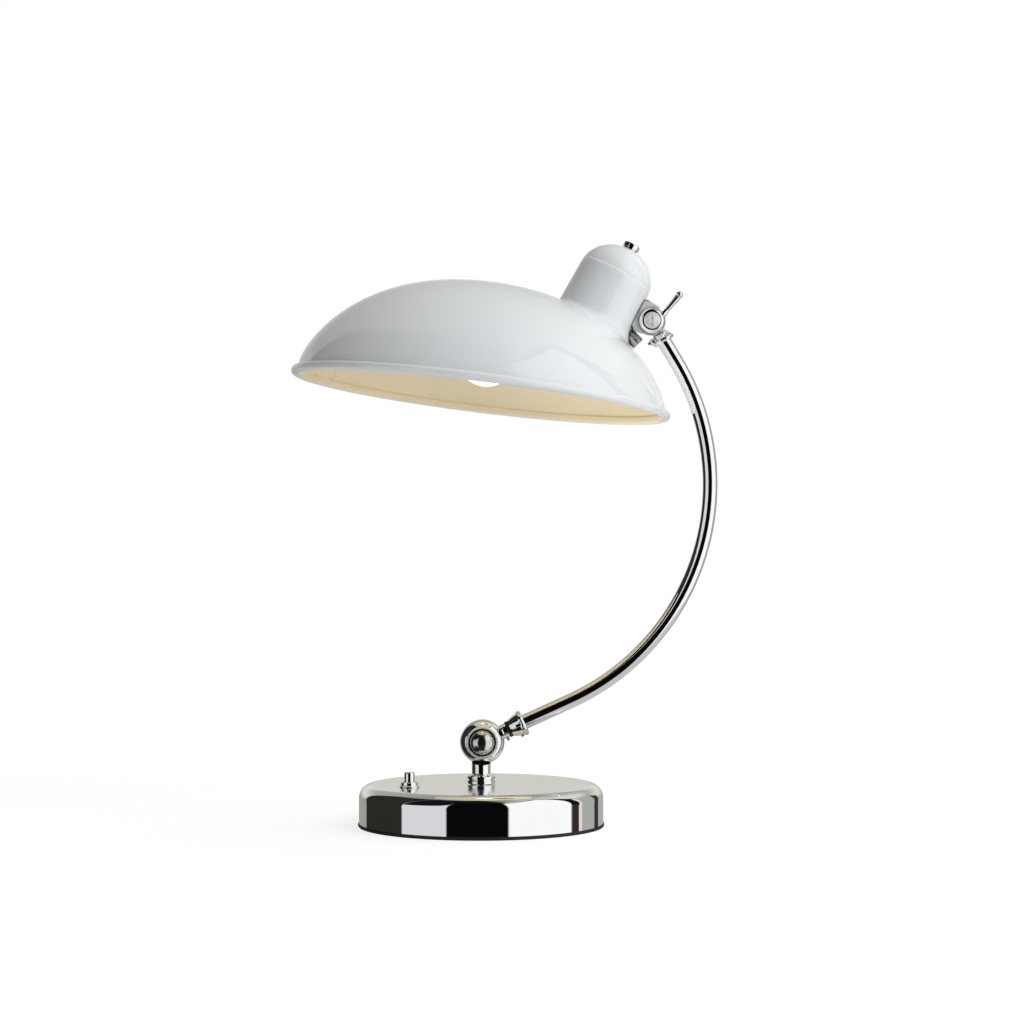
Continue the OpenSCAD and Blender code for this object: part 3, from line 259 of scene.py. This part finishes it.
def room_tone(t):
    """The room that reflections show: boards, the dark gap over them, what is overhead and what is below."""
    x, y, z = t.split(t.add("ShaderNodeTexCoord").outputs["Generated"])
    azimuth = t.math("MULTIPLY", t.math("ARCTAN2", x, t.math("MULTIPLY", y, -1.0)), 180 / math.pi)
    elevation = t.math("MULTIPLY", t.math("ARCSINE", z), 180 / math.pi)
    place = t.math("MULTIPLY_ADD", azimuth, 1 / 360, 0.5)  # as around() has it

    stops = [(height / 90, tone) for height, tone in OVERHEAD]
    overhead = t.ramp(t.math("MULTIPLY", elevation, 1 / 90), stops)
    high_right = t.math("MULTIPLY", t.range(x, *RIGHT_FADE), t.range(elevation, *HIGH_FADE))
    overhead = t.mix(high_right, overhead, OVERHEAD_RIGHT)
    left_front = t.math("MULTIPLY", t.range(y, *FRONT_FADE, 1.0, 0.0), t.range(x, *LEFT_FADE, 1.0, 0.0))
    overhead = t.mix(left_front, overhead, OVERHEAD_LEFT_FRONT)

    over_boards = t.math("SUBTRACT", elevation, edge_height(t, place, BOARD_TOPS))
    over_gap = t.math("SUBTRACT", elevation, edge_height(t, place, GAP_TOPS))
    upper = t.mix(t.range(over_gap, -GAP_BLUR, GAP_BLUR), GAP, overhead)
    room = t.mix(t.range(over_boards, -BOARD_BLUR, BOARD_BLUR), t.ramp(place, board_stops()), upper)
    room = t.mix(t.range(over_gap, 0.0, WALL_BLUR), room, overhead)
    return t.mix(t.range(elevation, *BELOW_FADE, 1.0, 0.0), room, BELOW)


def build_world():
    """White to the camera and through glass, light from the right on surfaces, the room in reflections."""
    world = bpy.data.worlds.new("studio")
    world.use_nodes = True
    bpy.context.scene.world = world
    t = Tree(world.node_tree)
    x = t.split(t.add("ShaderNodeTexCoord").outputs["Generated"])[0]
    backdrop = t.out("ShaderNodeBackground", WHITE, 1.0)
    reflected = t.out("ShaderNodeBackground", room_tone(t), ROOM_LEVEL)
    # none from the far left, and the most from the right
    light = t.out("ShaderNodeBackground", t.mix(t.range(x, *LIGHT_FADE), BLACK, RIGHT_LIGHT), 1.0)
    path = t.add("ShaderNodeLightPath")
    shown = t.mix_shaders(path.outputs["Is Glossy Ray"], light, reflected)
    shown = t.mix_shaders(path.outputs["Is Transmission Ray"], shown, backdrop)
    shown = t.mix_shaders(path.outputs["Is Camera Ray"], shown, backdrop)
    t.end("ShaderNodeOutputWorld", shown)


FLOOR_R = 8
FLOOR_STEPS = 96
FLOOR_GLOW = 0.765
FLOOR_SHADOW = 0.34
FLOOR_FADE = (0.25, 0.9)
PAPER_SCALE = 6
PAPER_TONES = grey(0.92), grey(0.94)


def floor_material():
    """Pale paper that the camera sees as the white backdrop with a soft shadow on it."""
    material = bpy.data.materials.new("studio_floor")
    material.use_nodes = True
    t = Tree(material.node_tree)
    # to the camera: mostly the white backdrop, with a share of the real surface that keeps the shadow
    real = t.out("ShaderNodeBsdfDiffuse", grey(FLOOR_SHADOW))
    near = t.out("ShaderNodeAddShader", real, t.out("ShaderNodeEmission", WHITE, FLOOR_GLOW))
    x, y, _ = t.split(t.add("ShaderNodeTexCoord").outputs["Object"])
    radius = t.math("SQRT", t.math("ADD", t.math("MULTIPLY", x, x), t.math("MULTIPLY", y, y)))
    far = t.out("ShaderNodeEmission", WHITE, 1.0)
    to_camera = t.mix_shaders(t.range(radius, *FLOOR_FADE), near, far)
    # to the rest: pale paper, and clear in reflections
    path = t.add("ShaderNodeLightPath")
    paper = t.out("ShaderNodeBsdfDiffuse", t.mix(t.noise(PAPER_SCALE, detail=3), *PAPER_TONES))
    clear = t.out("ShaderNodeBsdfTransparent")
    other = t.mix_shaders(path.outputs["Is Glossy Ray"], paper, clear)
    t.end("ShaderNodeOutputMaterial", t.mix_shaders(path.outputs["Is Camera Ray"], other, to_camera))
    return material


def build_floor():
    """A round pale floor that fades into the white backdrop. Reflections see the studio through it."""
    turns = [2 * math.pi * i / FLOOR_STEPS for i in range(FLOOR_STEPS)]
    verts = [(0, 0, 0)] + [(FLOOR_R * math.cos(a), FLOOR_R * math.sin(a), 0) for a in turns]
    faces = [(0, 1 + i, 1 + (i + 1) % FLOOR_STEPS) for i in range(FLOOR_STEPS)]
    mesh = bpy.data.meshes.new("studio_floor")
    mesh.from_pydata(verts, [], faces)
    mesh.materials.append(floor_material())
    floor = bpy.data.objects.new("studio_floor", mesh)
    bpy.context.scene.collection.objects.link(floor)


def lamp(name, place, target, size, power, colour=(1, 1, 1), spread=180):
    """A round area light. The camera and reflections don't see it."""
    data = bpy.data.lights.new(name, "AREA")
    data.shape = "DISK"
    data.size = size
    data.energy = power
    data.color = colour
    data.spread = math.radians(spread)
    obj = bpy.data.objects.new(name, data)
    obj.location = place
    obj.rotation_euler = (Vector(target) - Vector(place)).to_track_quat("-Z", "Y").to_euler()
    obj.visible_glossy = False
    obj.visible_camera = False
    bpy.context.scene.collection.objects.link(obj)


build_world()
build_floor()
lamp("key", place=(1.5, -1.0, 1.3), target=(0, 0, 0.3), size=1.2, power=9)
lamp("top", place=(0.3, 0.2, 2.2), target=(0, 0, 0.2), size=1.6, power=5)
lamp("under_shade", place=(0.02, -0.04, 0.12), target=(0.13, 0.02, 0.33), size=0.1, power=0.055,
     colour=(1, 0.96, 0.84), spread=80)


# ---- materials ----

# Painted shade: this dark colour is mixed in where other surfaces come near, in creases and where parts meet
PAINTED_SHADE = (0.10, 0.10, 0.095, 1)
PAINTED_SHADE_FADE = (0.35, 0.85)
HAZE_EDGE = 0.0004  # the haze comes in over this height
NOISE_SPAN = (0.3, 0.7)  # most of a noise lies between these
ROUGH_FINER = 4  # the roughness changes at this many times the colour's noise scale


def surface(name, colour, rough, change, bump, metallic=0.0, specular=0.5, stretch=None, glow=0.0,
            haze=None, seam=0.0):
    """A Principled surface whose colour, roughness and bump come from noise in the object's own space.

    rough is (roughness, its change as a share), change is (the colour's darkening as a share, noise scale)
    and bump is (noise scale, depth). With haze, (height, added roughness), what lies above that height
    reflects more softly. With seam, which is a distance, the colour darkens that near to another surface:
    painted shade in creases and where parts meet.
    """
    material = bpy.data.materials.new(name)
    material.use_nodes = True
    t = Tree(material.node_tree)
    vector = t.add("ShaderNodeTexCoord").outputs["Object"]
    if stretch:
        mapping = t.add("ShaderNodeMapping")
        mapping.inputs["Scale"].default_value = stretch
        t.set(mapping.inputs["Vector"], vector)
        vector = mapping.outputs[0]

    darkening, change_scale = change
    dark = tuple(c * (1 - darkening) for c in colour[:3]) + (1,)
    wide = t.noise(change_scale, detail=3, roughness=0.55, vector=vector)
    tone = t.mix(t.range(wide, *NOISE_SPAN), dark, colour)
    # painted shade, from ambient occlusion within the seam distance
    if seam:
        near = t.add("ShaderNodeAmbientOcclusion", samples=8)
        near.inputs["Distance"].default_value = seam
        tone = t.mix(t.range(near.outputs["AO"], *PAINTED_SHADE_FADE), PAINTED_SHADE, tone)

    level, swing = rough
    fine = t.noise(change_scale * ROUGH_FINER, detail=4, roughness=0.6, vector=vector)
    roughness = t.range(fine, *NOISE_SPAN, level * (1 - swing), level * (1 + swing))
    if haze:
        height, added = haze
        above = t.range(t.split(vector)[2], height - HAZE_EDGE, height, 0.0, added)
        roughness = t.math("ADD", roughness, above)

    bump_scale, depth = bump
    relief = t.add("ShaderNodeBump")
    relief.inputs["Strength"].default_value = 1.0
    relief.inputs["Distance"].default_value = depth
    t.set(relief.inputs["Height"], t.noise(bump_scale, detail=2, vector=vector))

    shader = t.add("ShaderNodeBsdfPrincipled")
    settings = {
        "Base Color": tone, "Roughness": roughness, "Metallic": metallic, "Specular IOR Level": specular,
        "Emission Color": colour, "Emission Strength": glow, "Normal": relief.outputs[0],
    }
    for socket, value in settings.items():
        t.set(shader.inputs[socket], value)
    t.end("ShaderNodeOutputMaterial", shader.outputs[0])
    return material


POLISHED = {
    "colour": (0.92, 0.92, 0.915, 1), "rough": (0.008, 0.4), "change": (0.02, 25), "bump": (60, 0.0000004),
    "metallic": 1.0,
}
chrome = surface("chrome", **POLISHED)
# the cover's flat top reflects more softly than its side
COVER_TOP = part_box("base_cover")[1][2] - 0.0002
cover_chrome = surface("cover_chrome", **POLISHED, haze=(COVER_TOP, 0.13))
enamel = surface("white_enamel", srgb(238, 240, 241), rough=(0.07, 0.2), change=(0.01, 12),
                 bump=(60, 0.000003), specular=0.8)
cream = surface("cream_enamel", srgb(248, 235, 205), rough=(0.32, 0.2), change=(0.012, 14),
                bump=(300, 0.000004))
rubber = surface("black_rubber", srgb(26, 26, 26), rough=(0.6, 0.2), change=(0.2, 60), bump=(1500, 0.00004))
iron = surface("cast_iron", srgb(74, 74, 76), rough=(0.6, 0.25), change=(0.25, 90), bump=(700, 0.0002),
               metallic=0.6)
zinc = surface("zinc_steel", srgb(176, 178, 180), rough=(0.28, 0.35), change=(0.08, 120),
               bump=(1200, 0.000008), metallic=1.0)
brass = surface("brass", srgb(206, 170, 96), rough=(0.25, 0.3), change=(0.08, 80), bump=(900, 0.000006),
                metallic=1.0)
black_plastic = surface("black_plastic", srgb(30, 30, 31), rough=(0.38, 0.25), change=(0.12, 60),
                        bump=(1200, 0.00001))
white_plastic = surface("white_plastic", srgb(226, 224, 216), rough=(0.35, 0.25), change=(0.05, 60),
                        bump=(1000, 0.00001))
fibre = surface("fibre", srgb(52, 44, 38), rough=(0.75, 0.2), change=(0.25, 300), bump=(2500, 0.00003))
opal = surface("opal_glass", srgb(252, 250, 243), rough=(0.12, 0.2), change=(0.01, 30), bump=(300, 0.000002),
               glow=1.0)
# satin_casting and worn_nickel get painted shade in their creases, through seam
satin = surface("satin_casting", (0.93, 0.93, 0.92, 1), rough=(0.34, 0.3), change=(0.10, 260),
                bump=(500, 0.00001), metallic=0.30, stretch=(1, 0.3, 3), seam=0.004)
worn = surface("worn_nickel", (0.84, 0.84, 0.82, 1), rough=(0.26, 0.3), change=(0.72, 190),
               bump=(260, 0.00004), metallic=0.75, seam=0.003)
rubbed = surface("rubbed_nickel", (0.95, 0.95, 0.94, 1), rough=(0.30, 0.3), change=(0.45, 240),
                 bump=(300, 0.00003), metallic=0.12)
nickel = surface("soft_nickel", (0.80, 0.80, 0.79, 1), rough=(0.17, 0.3), change=(0.35, 240),
                 bump=(300, 0.00002), metallic=1.0)

SLOT_FINISH = {
    "chrome": chrome, "white_enamel": enamel, "black_rubber": rubber, "cast_iron": iron, "zinc_steel": zinc,
    "brass": brass, "black_plastic": black_plastic, "white_plastic": white_plastic, "fibre": fibre,
    "opal_glass": opal,
}
OWN_FINISH = {"base_cover": cover_chrome, "bracket": satin, "arm_knuckle": satin, "clamp_cap": rubbed}
for name, obj in nodes.items():
    slot = obj.material_slots[0].material.name.split(".")[0]
    obj.material_slots[0].material = OWN_FINISH.get(name, SLOT_FINISH[slot])


# ---- mesh helpers ----

SHARP_ANGLE = math.radians(34)
TURN_STEPS = 128


def turn_y(degrees):
    """The CAD's rotate([0, degrees, 0]) as a 4 by 4 array."""
    return np.array(Matrix.Rotation(math.radians(degrees), 4, "Y"))


def move(x, y, z):
    return np.array(Matrix.Translation((x, y, z)))


def apply(matrix, points):
    points = np.asarray(points, float)
    return points @ matrix[:3, :3].T + matrix[:3, 3]


def whole_turn(count):
    """The angles of count steps round a whole turn."""
    return np.linspace(0, 2 * math.pi, count, endpoint=False)


def ring(turn, r, z):
    """A ring's points. turn is the angle of each."""
    return np.stack([r * np.cos(turn), r * np.sin(turn), np.full(turn.shape, z)], -1)


def arc(r, z, radius, from_angle, to_angle, count):
    """Points of an arc about (r, z), with angles in degrees."""
    angles = [math.radians(a) for a in np.linspace(from_angle, to_angle, count)]
    return [(r + radius * math.cos(a), z + radius * math.sin(a)) for a in angles]


def closed_bands(rows, count):
    """The faces between each row of count points and the next, and between the last row and the first."""
    faces = []
    for row in range(rows):
        a, b = row * count, (row + 1) % rows * count
        for i in range(count):
            j = (i + 1) % count
            faces.append((a + i, b + i, b + j, a + j))
    return faces


def piece(name, verts, faces, materials, body, face_material=None):
    """A mesh object from points in millimetres."""
    mesh = bpy.data.meshes.new(name)
    mesh.from_pydata((np.asarray(verts) * MM).tolist(), [], faces)
    for m in materials:
        mesh.materials.append(m)
    if face_material is not None:
        mesh.polygons.foreach_set("material_index", face_material)
    mesh.polygons.foreach_set("use_smooth", [True] * len(mesh.polygons))
    mesh.validate()
    mesh.update()
    obj = bpy.data.objects.new(name, mesh)
    bpy.context.scene.collection.objects.link(obj)
    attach(obj, body)
    return obj


def turned(name, profile, place, material, body, count=TURN_STEPS):
    """A piece turned from a profile of (radius, height) points that starts and ends on its axis."""
    turn = whole_turn(count)
    verts = [apply(place, [[0, 0, height]])[0] for _, height in (profile[0], profile[-1])]
    rings = profile[1:-1]
    for r, z in rings:
        verts.extend(apply(place, ring(turn, r, z)))
    last = 2 + (len(rings) - 1) * count
    faces = []
    for i in range(count):
        j = (i + 1) % count
        faces.append((0, 2 + j, 2 + i))
        for a in range(2, last, count):
            faces.append((a + i, a + j, a + count + j, a + count + i))
        faces.append((1, last + i, last + j))
    obj = piece(name, verts, faces, [material], body)
    obj.data.set_sharp_from_angle(angle=SHARP_ANGLE)
    return obj


def turned_ring(name, section, place, material, body):
    """A ring turned from a closed section of (radius, height) points."""
    turn = whole_turn(TURN_STEPS)
    verts = []
    for r, z in section:
        verts.extend(apply(place, ring(turn, r, z)))
    obj = piece(name, verts, closed_bands(len(section), TURN_STEPS), [material], body)
    obj.data.set_sharp_from_angle(angle=SHARP_ANGLE)


# ---- places: the two pivots and the shade's and neck's own frames ----


def pivot(joint):
    """A joint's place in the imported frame, in millimetres."""
    return [v / MM for row in frame["joints"] if row["name"] == joint for v in row["pos_m"]]


SHADE_LEAN, NECK_LEAN = 6.97, 21.03
# The upper pivot's distances from the shade's axis, over the rim's lowest level, and from the neck's axis
PIVOT_FROM_AXIS, PIVOT_OVER_RIM, PIVOT_FROM_NECK = 118.7, 71.2, 39.2

PIVOT_TOP = pivot("shade_tilt")
PIVOT_LOW = pivot("arm_tilt")
SHADE = move(*PIVOT_TOP) @ turn_y(SHADE_LEAN) @ move(-PIVOT_FROM_AXIS, 0, -PIVOT_OVER_RIM)
NECK = move(*PIVOT_TOP) @ turn_y(SHADE_LEAN + NECK_LEAN) @ move(-PIVOT_FROM_NECK, 0, 0)
NECK_IN_SHADE = np.linalg.inv(SHADE) @ NECK
# Turns an axis along +Z to the front (-Y)
TO_FRONT = np.array(Matrix.Rotation(math.radians(90), 4, "X"))


# ---- shade: dome, rolled rim and neck in one sheet ----

# The dome's outline is an ellipse with these exponents for its radius and height, 1 being a plain one.
WALL_R, WALL_Z, DOME_H = 136.65, 6.4, 78.3
ROUND_R, ROUND_Z = 0.876, 1.348
OUTLINE_STEPS, HALVINGS = 1500, 50
# How far the dome stands off its axis for each millimetre of height
LEAN_SLOPE = -0.030
DOME_WALL, NECK_WALL = 1.0, 1.2
# The neck's heights are in its own frame, above the upper pivot's level.
NECK_TOP_R, NECK_FOOT_R = 27.9, 29.3
SEAM_Z, SHOULDER_Z, FLARE_Z, NECK_LOWEST = 20.5, 16.0, -30.0, -55.0
CROWN_H = 24.6
# The fillet where the neck meets the dome is wider on the arm's side and narrower opposite.
FILLET, INNER_FILLET = 6.5, 1.2
FILLET_SWING = 0.55
FILLET_PULL = 0.62
# The rim's bead, turned over to BEAD_END degrees, is cream in its last rows.
BEAD_R, BEAD_MID = 3.2, 137.9
BEAD_END, BEAD_ROWS, CREAM_ROWS = -172, 40, 6
BEAD_OUTSIDE_WALL = 0.22
# The wall's last points over the bead and the rolled lip inside it, as (radius less the wall's, height)
WALL_FOOT = [(0.02, 6.3), (0.09, 6.2)]
LIP = [(-1.9, 4.6), (-1.75, 5.3), (-1.4, 5.7), (-0.8, 5.9), (-0.62, 6.15), (-0.72, 6.5), (-0.9, 6.8)]
INNER_FOOT_Z = 7.6
SHADE_STEPS = 288


def lean(z):
    """How far the spun dome stands off its axis at a height."""
    return LEAN_SLOPE * np.clip(np.asarray(z, float) - WALL_Z, 0, None)


def dome_outline(inset):
    """The dome's radii and heights, the arc length up to each as a share of the whole, and the whole."""
    a = np.linspace(math.pi / 2, 0, OUTLINE_STEPS)
    radii = (WALL_R - inset) * np.clip(np.cos(a), 0, None) ** ROUND_R
    radii[0] = 0
    heights = WALL_Z + (DOME_H - inset) * np.clip(np.sin(a), 0, None) ** ROUND_Z
    steps = np.hypot(np.diff(radii), np.diff(heights))
    length = np.concatenate([[0], np.cumsum(steps)])
    return radii, heights, length / length[-1], float(steps.sum())


def dome_point(flat, outline):
    """A point of the unit disc, as a point of the dome in the shade's frame."""
    radii, heights, share, _ = outline
    size = np.hypot(flat[:, 0], flat[:, 1])
    r = np.interp(size, share, radii)
    z = np.interp(size, share, heights)
    return np.stack([flat[:, 0] / size * r + lean(z), flat[:, 1] / size * r, z], -1)


def neck_radius(z, inset):
    """The neck's radius at a height: a cone up to the shoulder and a rounded crown over it."""
    cone = NECK_TOP_R + (NECK_FOOT_R - NECK_TOP_R) * (SHOULDER_Z - z) / (SHOULDER_Z - FLARE_Z) - inset
    share = np.clip(1 - ((z - SHOULDER_Z) / (CROWN_H - inset)) ** 2, 0, 1)
    return np.where(z > SHOULDER_Z, (NECK_TOP_R - inset) * np.sqrt(share), cone)


def neck_point(turn, z, inset):
    """A point of the neck's wall, in the shade's frame."""
    r = neck_radius(z, inset)
    return apply(NECK_IN_SHADE, np.stack([r * np.cos(turn), r * np.sin(turn), z], -1))


def neck_meets_dome(turn, neck_inset, dome_inset):
    """The height in the neck's frame at which each line of the neck meets the dome, found by halving."""
    low, high = np.full(turn.shape, NECK_LOWEST), np.full(turn.shape, SHOULDER_Z)
    for _ in range(HALVINGS):
        mid = (low + high) / 2
        x, y, z = neck_point(turn, mid, neck_inset).T
        out = np.hypot(x - lean(z), y) / (WALL_R - dome_inset)
        rise = np.clip(z - WALL_Z, 0, None) / (DOME_H - dome_inset)
        inside = out ** (2 / ROUND_R) + rise ** (2 / ROUND_Z) < 1
        low, high = np.where(inside, mid, low), np.where(inside, high, mid)
    return low


def skin(neck_inset, dome_inset, fillet, neck_rows, fillet_rows, dome_rows):
    """One side of the shade's sheet, as rows from the neck's seam over the fillet to the rim's wall.

    The dome's rows are spaced in the unit disc, along rays from the middle of the neck's foot to the edge.
    The angles at which those rays reach the edge are given with the rows.
    """
    turn = whole_turn(SHADE_STEPS)
    fillet = fillet * (1 + FILLET_SWING * np.cos(turn))
    outline = dome_outline(dome_inset)
    radii, _, share, whole = outline
    foot = neck_meets_dome(turn, neck_inset, dome_inset)
    corner = neck_point(turn, foot, neck_inset)

    # the corner in the unit disc, and the ray from it to the edge
    off_axis = corner[:, 0] - lean(corner[:, 2])
    size = np.interp(np.hypot(off_axis, corner[:, 1]), radii, share)
    bearing = np.arctan2(corner[:, 1], off_axis)
    flat = np.stack([size * np.cos(bearing), size * np.sin(bearing)], -1)
    middle = flat.mean(0)
    ray = flat - middle
    ray /= np.linalg.norm(ray, axis=1)[:, None]
    along = (ray * middle).sum(1)
    reach = -along + np.sqrt(along**2 + 1 - (middle**2).sum())
    edge = middle + ray * reach[:, None]
    start = fillet / whole / np.linalg.norm(edge - flat, axis=1)

    rows = []
    for s in np.linspace(0, 1, neck_rows):
        rows.append(neck_point(turn, SEAM_Z + (foot + fillet - SEAM_Z) * s, neck_inset))
    # the fillet is a curve from the neck to the dome that both ends pull towards the corner
    p0 = neck_point(turn, foot + fillet, neck_inset)
    p3 = dome_point(flat + (edge - flat) * start[:, None], outline)
    p1, p2 = p0 + (corner - p0) * FILLET_PULL, p3 + (corner - p3) * FILLET_PULL
    for s in np.linspace(0, 1, fillet_rows + 2)[1:-1]:
        rows.append((1 - s) ** 3 * p0 + 3 * s * (1 - s) ** 2 * p1 + 3 * s * s * (1 - s) * p2 + s**3 * p3)
    for s in np.linspace(0, 1, dome_rows):
        part = start + (1 - start) * s
        rows.append(dome_point(flat + (edge - flat) * part[:, None], outline))
    return rows, np.arctan2(edge[:, 1], edge[:, 0])


def build_shade():
    """The sheet's outside from the seam down, the rolled rim, and its inside from the rim up to the seam."""
    outer, outer_turn = skin(0, 0, FILLET, neck_rows=14, fillet_rows=12, dome_rows=60)
    inner, inner_turn = skin(NECK_WALL, DOME_WALL, INNER_FILLET, neck_rows=10, fillet_rows=5, dome_rows=40)
    # from the wall into the bead's top, over the bead, and up to the rolled lip's end inside
    start = math.degrees(math.acos((WALL_R + BEAD_OUTSIDE_WALL - BEAD_MID) / BEAD_R))
    rim = [(WALL_R + out, z) for out, z in WALL_FOOT]
    rim += arc(BEAD_MID, BEAD_R, BEAD_R, start, BEAD_END, BEAD_ROWS)
    first_cream = len(outer) + len(rim) - CREAM_ROWS
    rim += [(WALL_R + out, z) for out, z in LIP]
    # the inside's foot starts above the lip
    inside = [ring(inner_turn, WALL_R - DOME_WALL, INNER_FOOT_Z)] + inner[::-1][1:]
    rows = outer + [ring(outer_turn, r, z) for r, z in rim] + inside

    verts = apply(SHADE, np.concatenate(rows))
    faces = closed_bands(len(rows), SHADE_STEPS)
    face_material = [int(row >= first_cream) for row in range(len(rows)) for _ in range(SHADE_STEPS)]
    obj = piece("shade_sheet", verts, faces, [enamel, cream], "head", face_material)
    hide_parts("shade_dome")


# ---- lower joint: the bolt's domed head and the fine bead on the disc's face ----

# Heights are distances in front of the pivot, so the shank's end is behind it.
BOLT_R, BOLT_END, BOLT_BEVEL = 3, -15.25, 0.3
HEAD_R, HEAD_FOOT, HEAD_BEVEL = 9.2, 8, 0.2
HEAD_SIDE, HEAD_TOP = 9.3, 16
HEAD_ROUND_R, HEAD_ROUND_Z = 0.9, 1.15  # exponents of the dome's outline
HEAD_FROM, HEAD_STEPS = 0.06, 22  # the dome leaves out these radians at its side and at its top
FACE_BEAD_MID, FACE_BEAD_R, FACE_BEAD_Z, FACE_BEAD_FOOT = 11.1, 0.9, 9.4, 9.2


def build_hinge_bolt(place):
    """The bolt that the arm tilts on: a bevelled shank under a rounded head."""
    shank = [(0, BOLT_END), (BOLT_R - BOLT_BEVEL, BOLT_END), (BOLT_R, BOLT_END + BOLT_BEVEL),
             (BOLT_R, HEAD_FOOT)]
    side = [(HEAD_R - HEAD_BEVEL, HEAD_FOOT), (HEAD_R, HEAD_FOOT + HEAD_BEVEL), (HEAD_R, HEAD_SIDE)]
    rise = HEAD_TOP - HEAD_SIDE
    dome = [(HEAD_R * math.cos(a) ** HEAD_ROUND_R, HEAD_SIDE + rise * math.sin(a) ** HEAD_ROUND_Z)
            for a in np.linspace(HEAD_FROM, math.pi / 2 - HEAD_FROM, HEAD_STEPS)]
    bolt = turned("hinge_bolt", shank + side + dome + [(0, HEAD_TOP)], place, nickel, "arm")
    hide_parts("pivot_bolt")


def build_face_bead(place):
    """The fine ring on the front disc's face, round the bolt's head."""
    inside = (FACE_BEAD_MID - FACE_BEAD_R, FACE_BEAD_FOOT)
    outside = (FACE_BEAD_MID + FACE_BEAD_R, FACE_BEAD_FOOT)
    over = arc(FACE_BEAD_MID, FACE_BEAD_Z, FACE_BEAD_R, from_angle=176, to_angle=4, count=14)
    turned_ring("face_bead", [inside, *over, outside], place, rubbed, "arm")


# ---- upper joint: the lead's gland beside the neck's foot ----

# Its axis points down and away from the shade, at 45 degrees.
GLAND_PLACE = (113.3, 0, 360.5)
GLAND_TURN = 135
GLAND_R, GROOVE_R, NOSE_R, LEAD_HOLE_R = 4.95, 4.7, 4.3, 2.9


def build_lead_gland():
    """A nose, a collar, a fine groove, and a barrel with a blind hole for the lead."""
    place = move(*GLAND_PLACE) @ turn_y(GLAND_TURN)
    nose = [(0, -6.2), (NOSE_R, -6.2), (NOSE_R, -4.9)]
    collar = [(GROOVE_R, -4.7), (GLAND_R, -4.4), (GLAND_R, -1.2)]
    groove = [(GROOVE_R, -0.9), (GROOVE_R, -0.5)]
    barrel = [(GLAND_R, -0.2), (GLAND_R, 3.9), (4.75, 4.4), (NOSE_R, 4.7)]
    hole = [(LEAD_HOLE_R + 0.2, 4.7), (LEAD_HOLE_R, 4.5), (LEAD_HOLE_R, 0.5), (0, 0.5)]
    profile = nose + collar + groove + barrel + hole
    gland = turned("lead_gland", profile, place, worn, "head", count=96)
    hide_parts("lead_bush")


build_lead_gland()
lower_joint = move(*PIVOT_LOW) @ TO_FRONT
build_hinge_bolt(lower_joint)
build_face_bead(lower_joint)
build_shade()
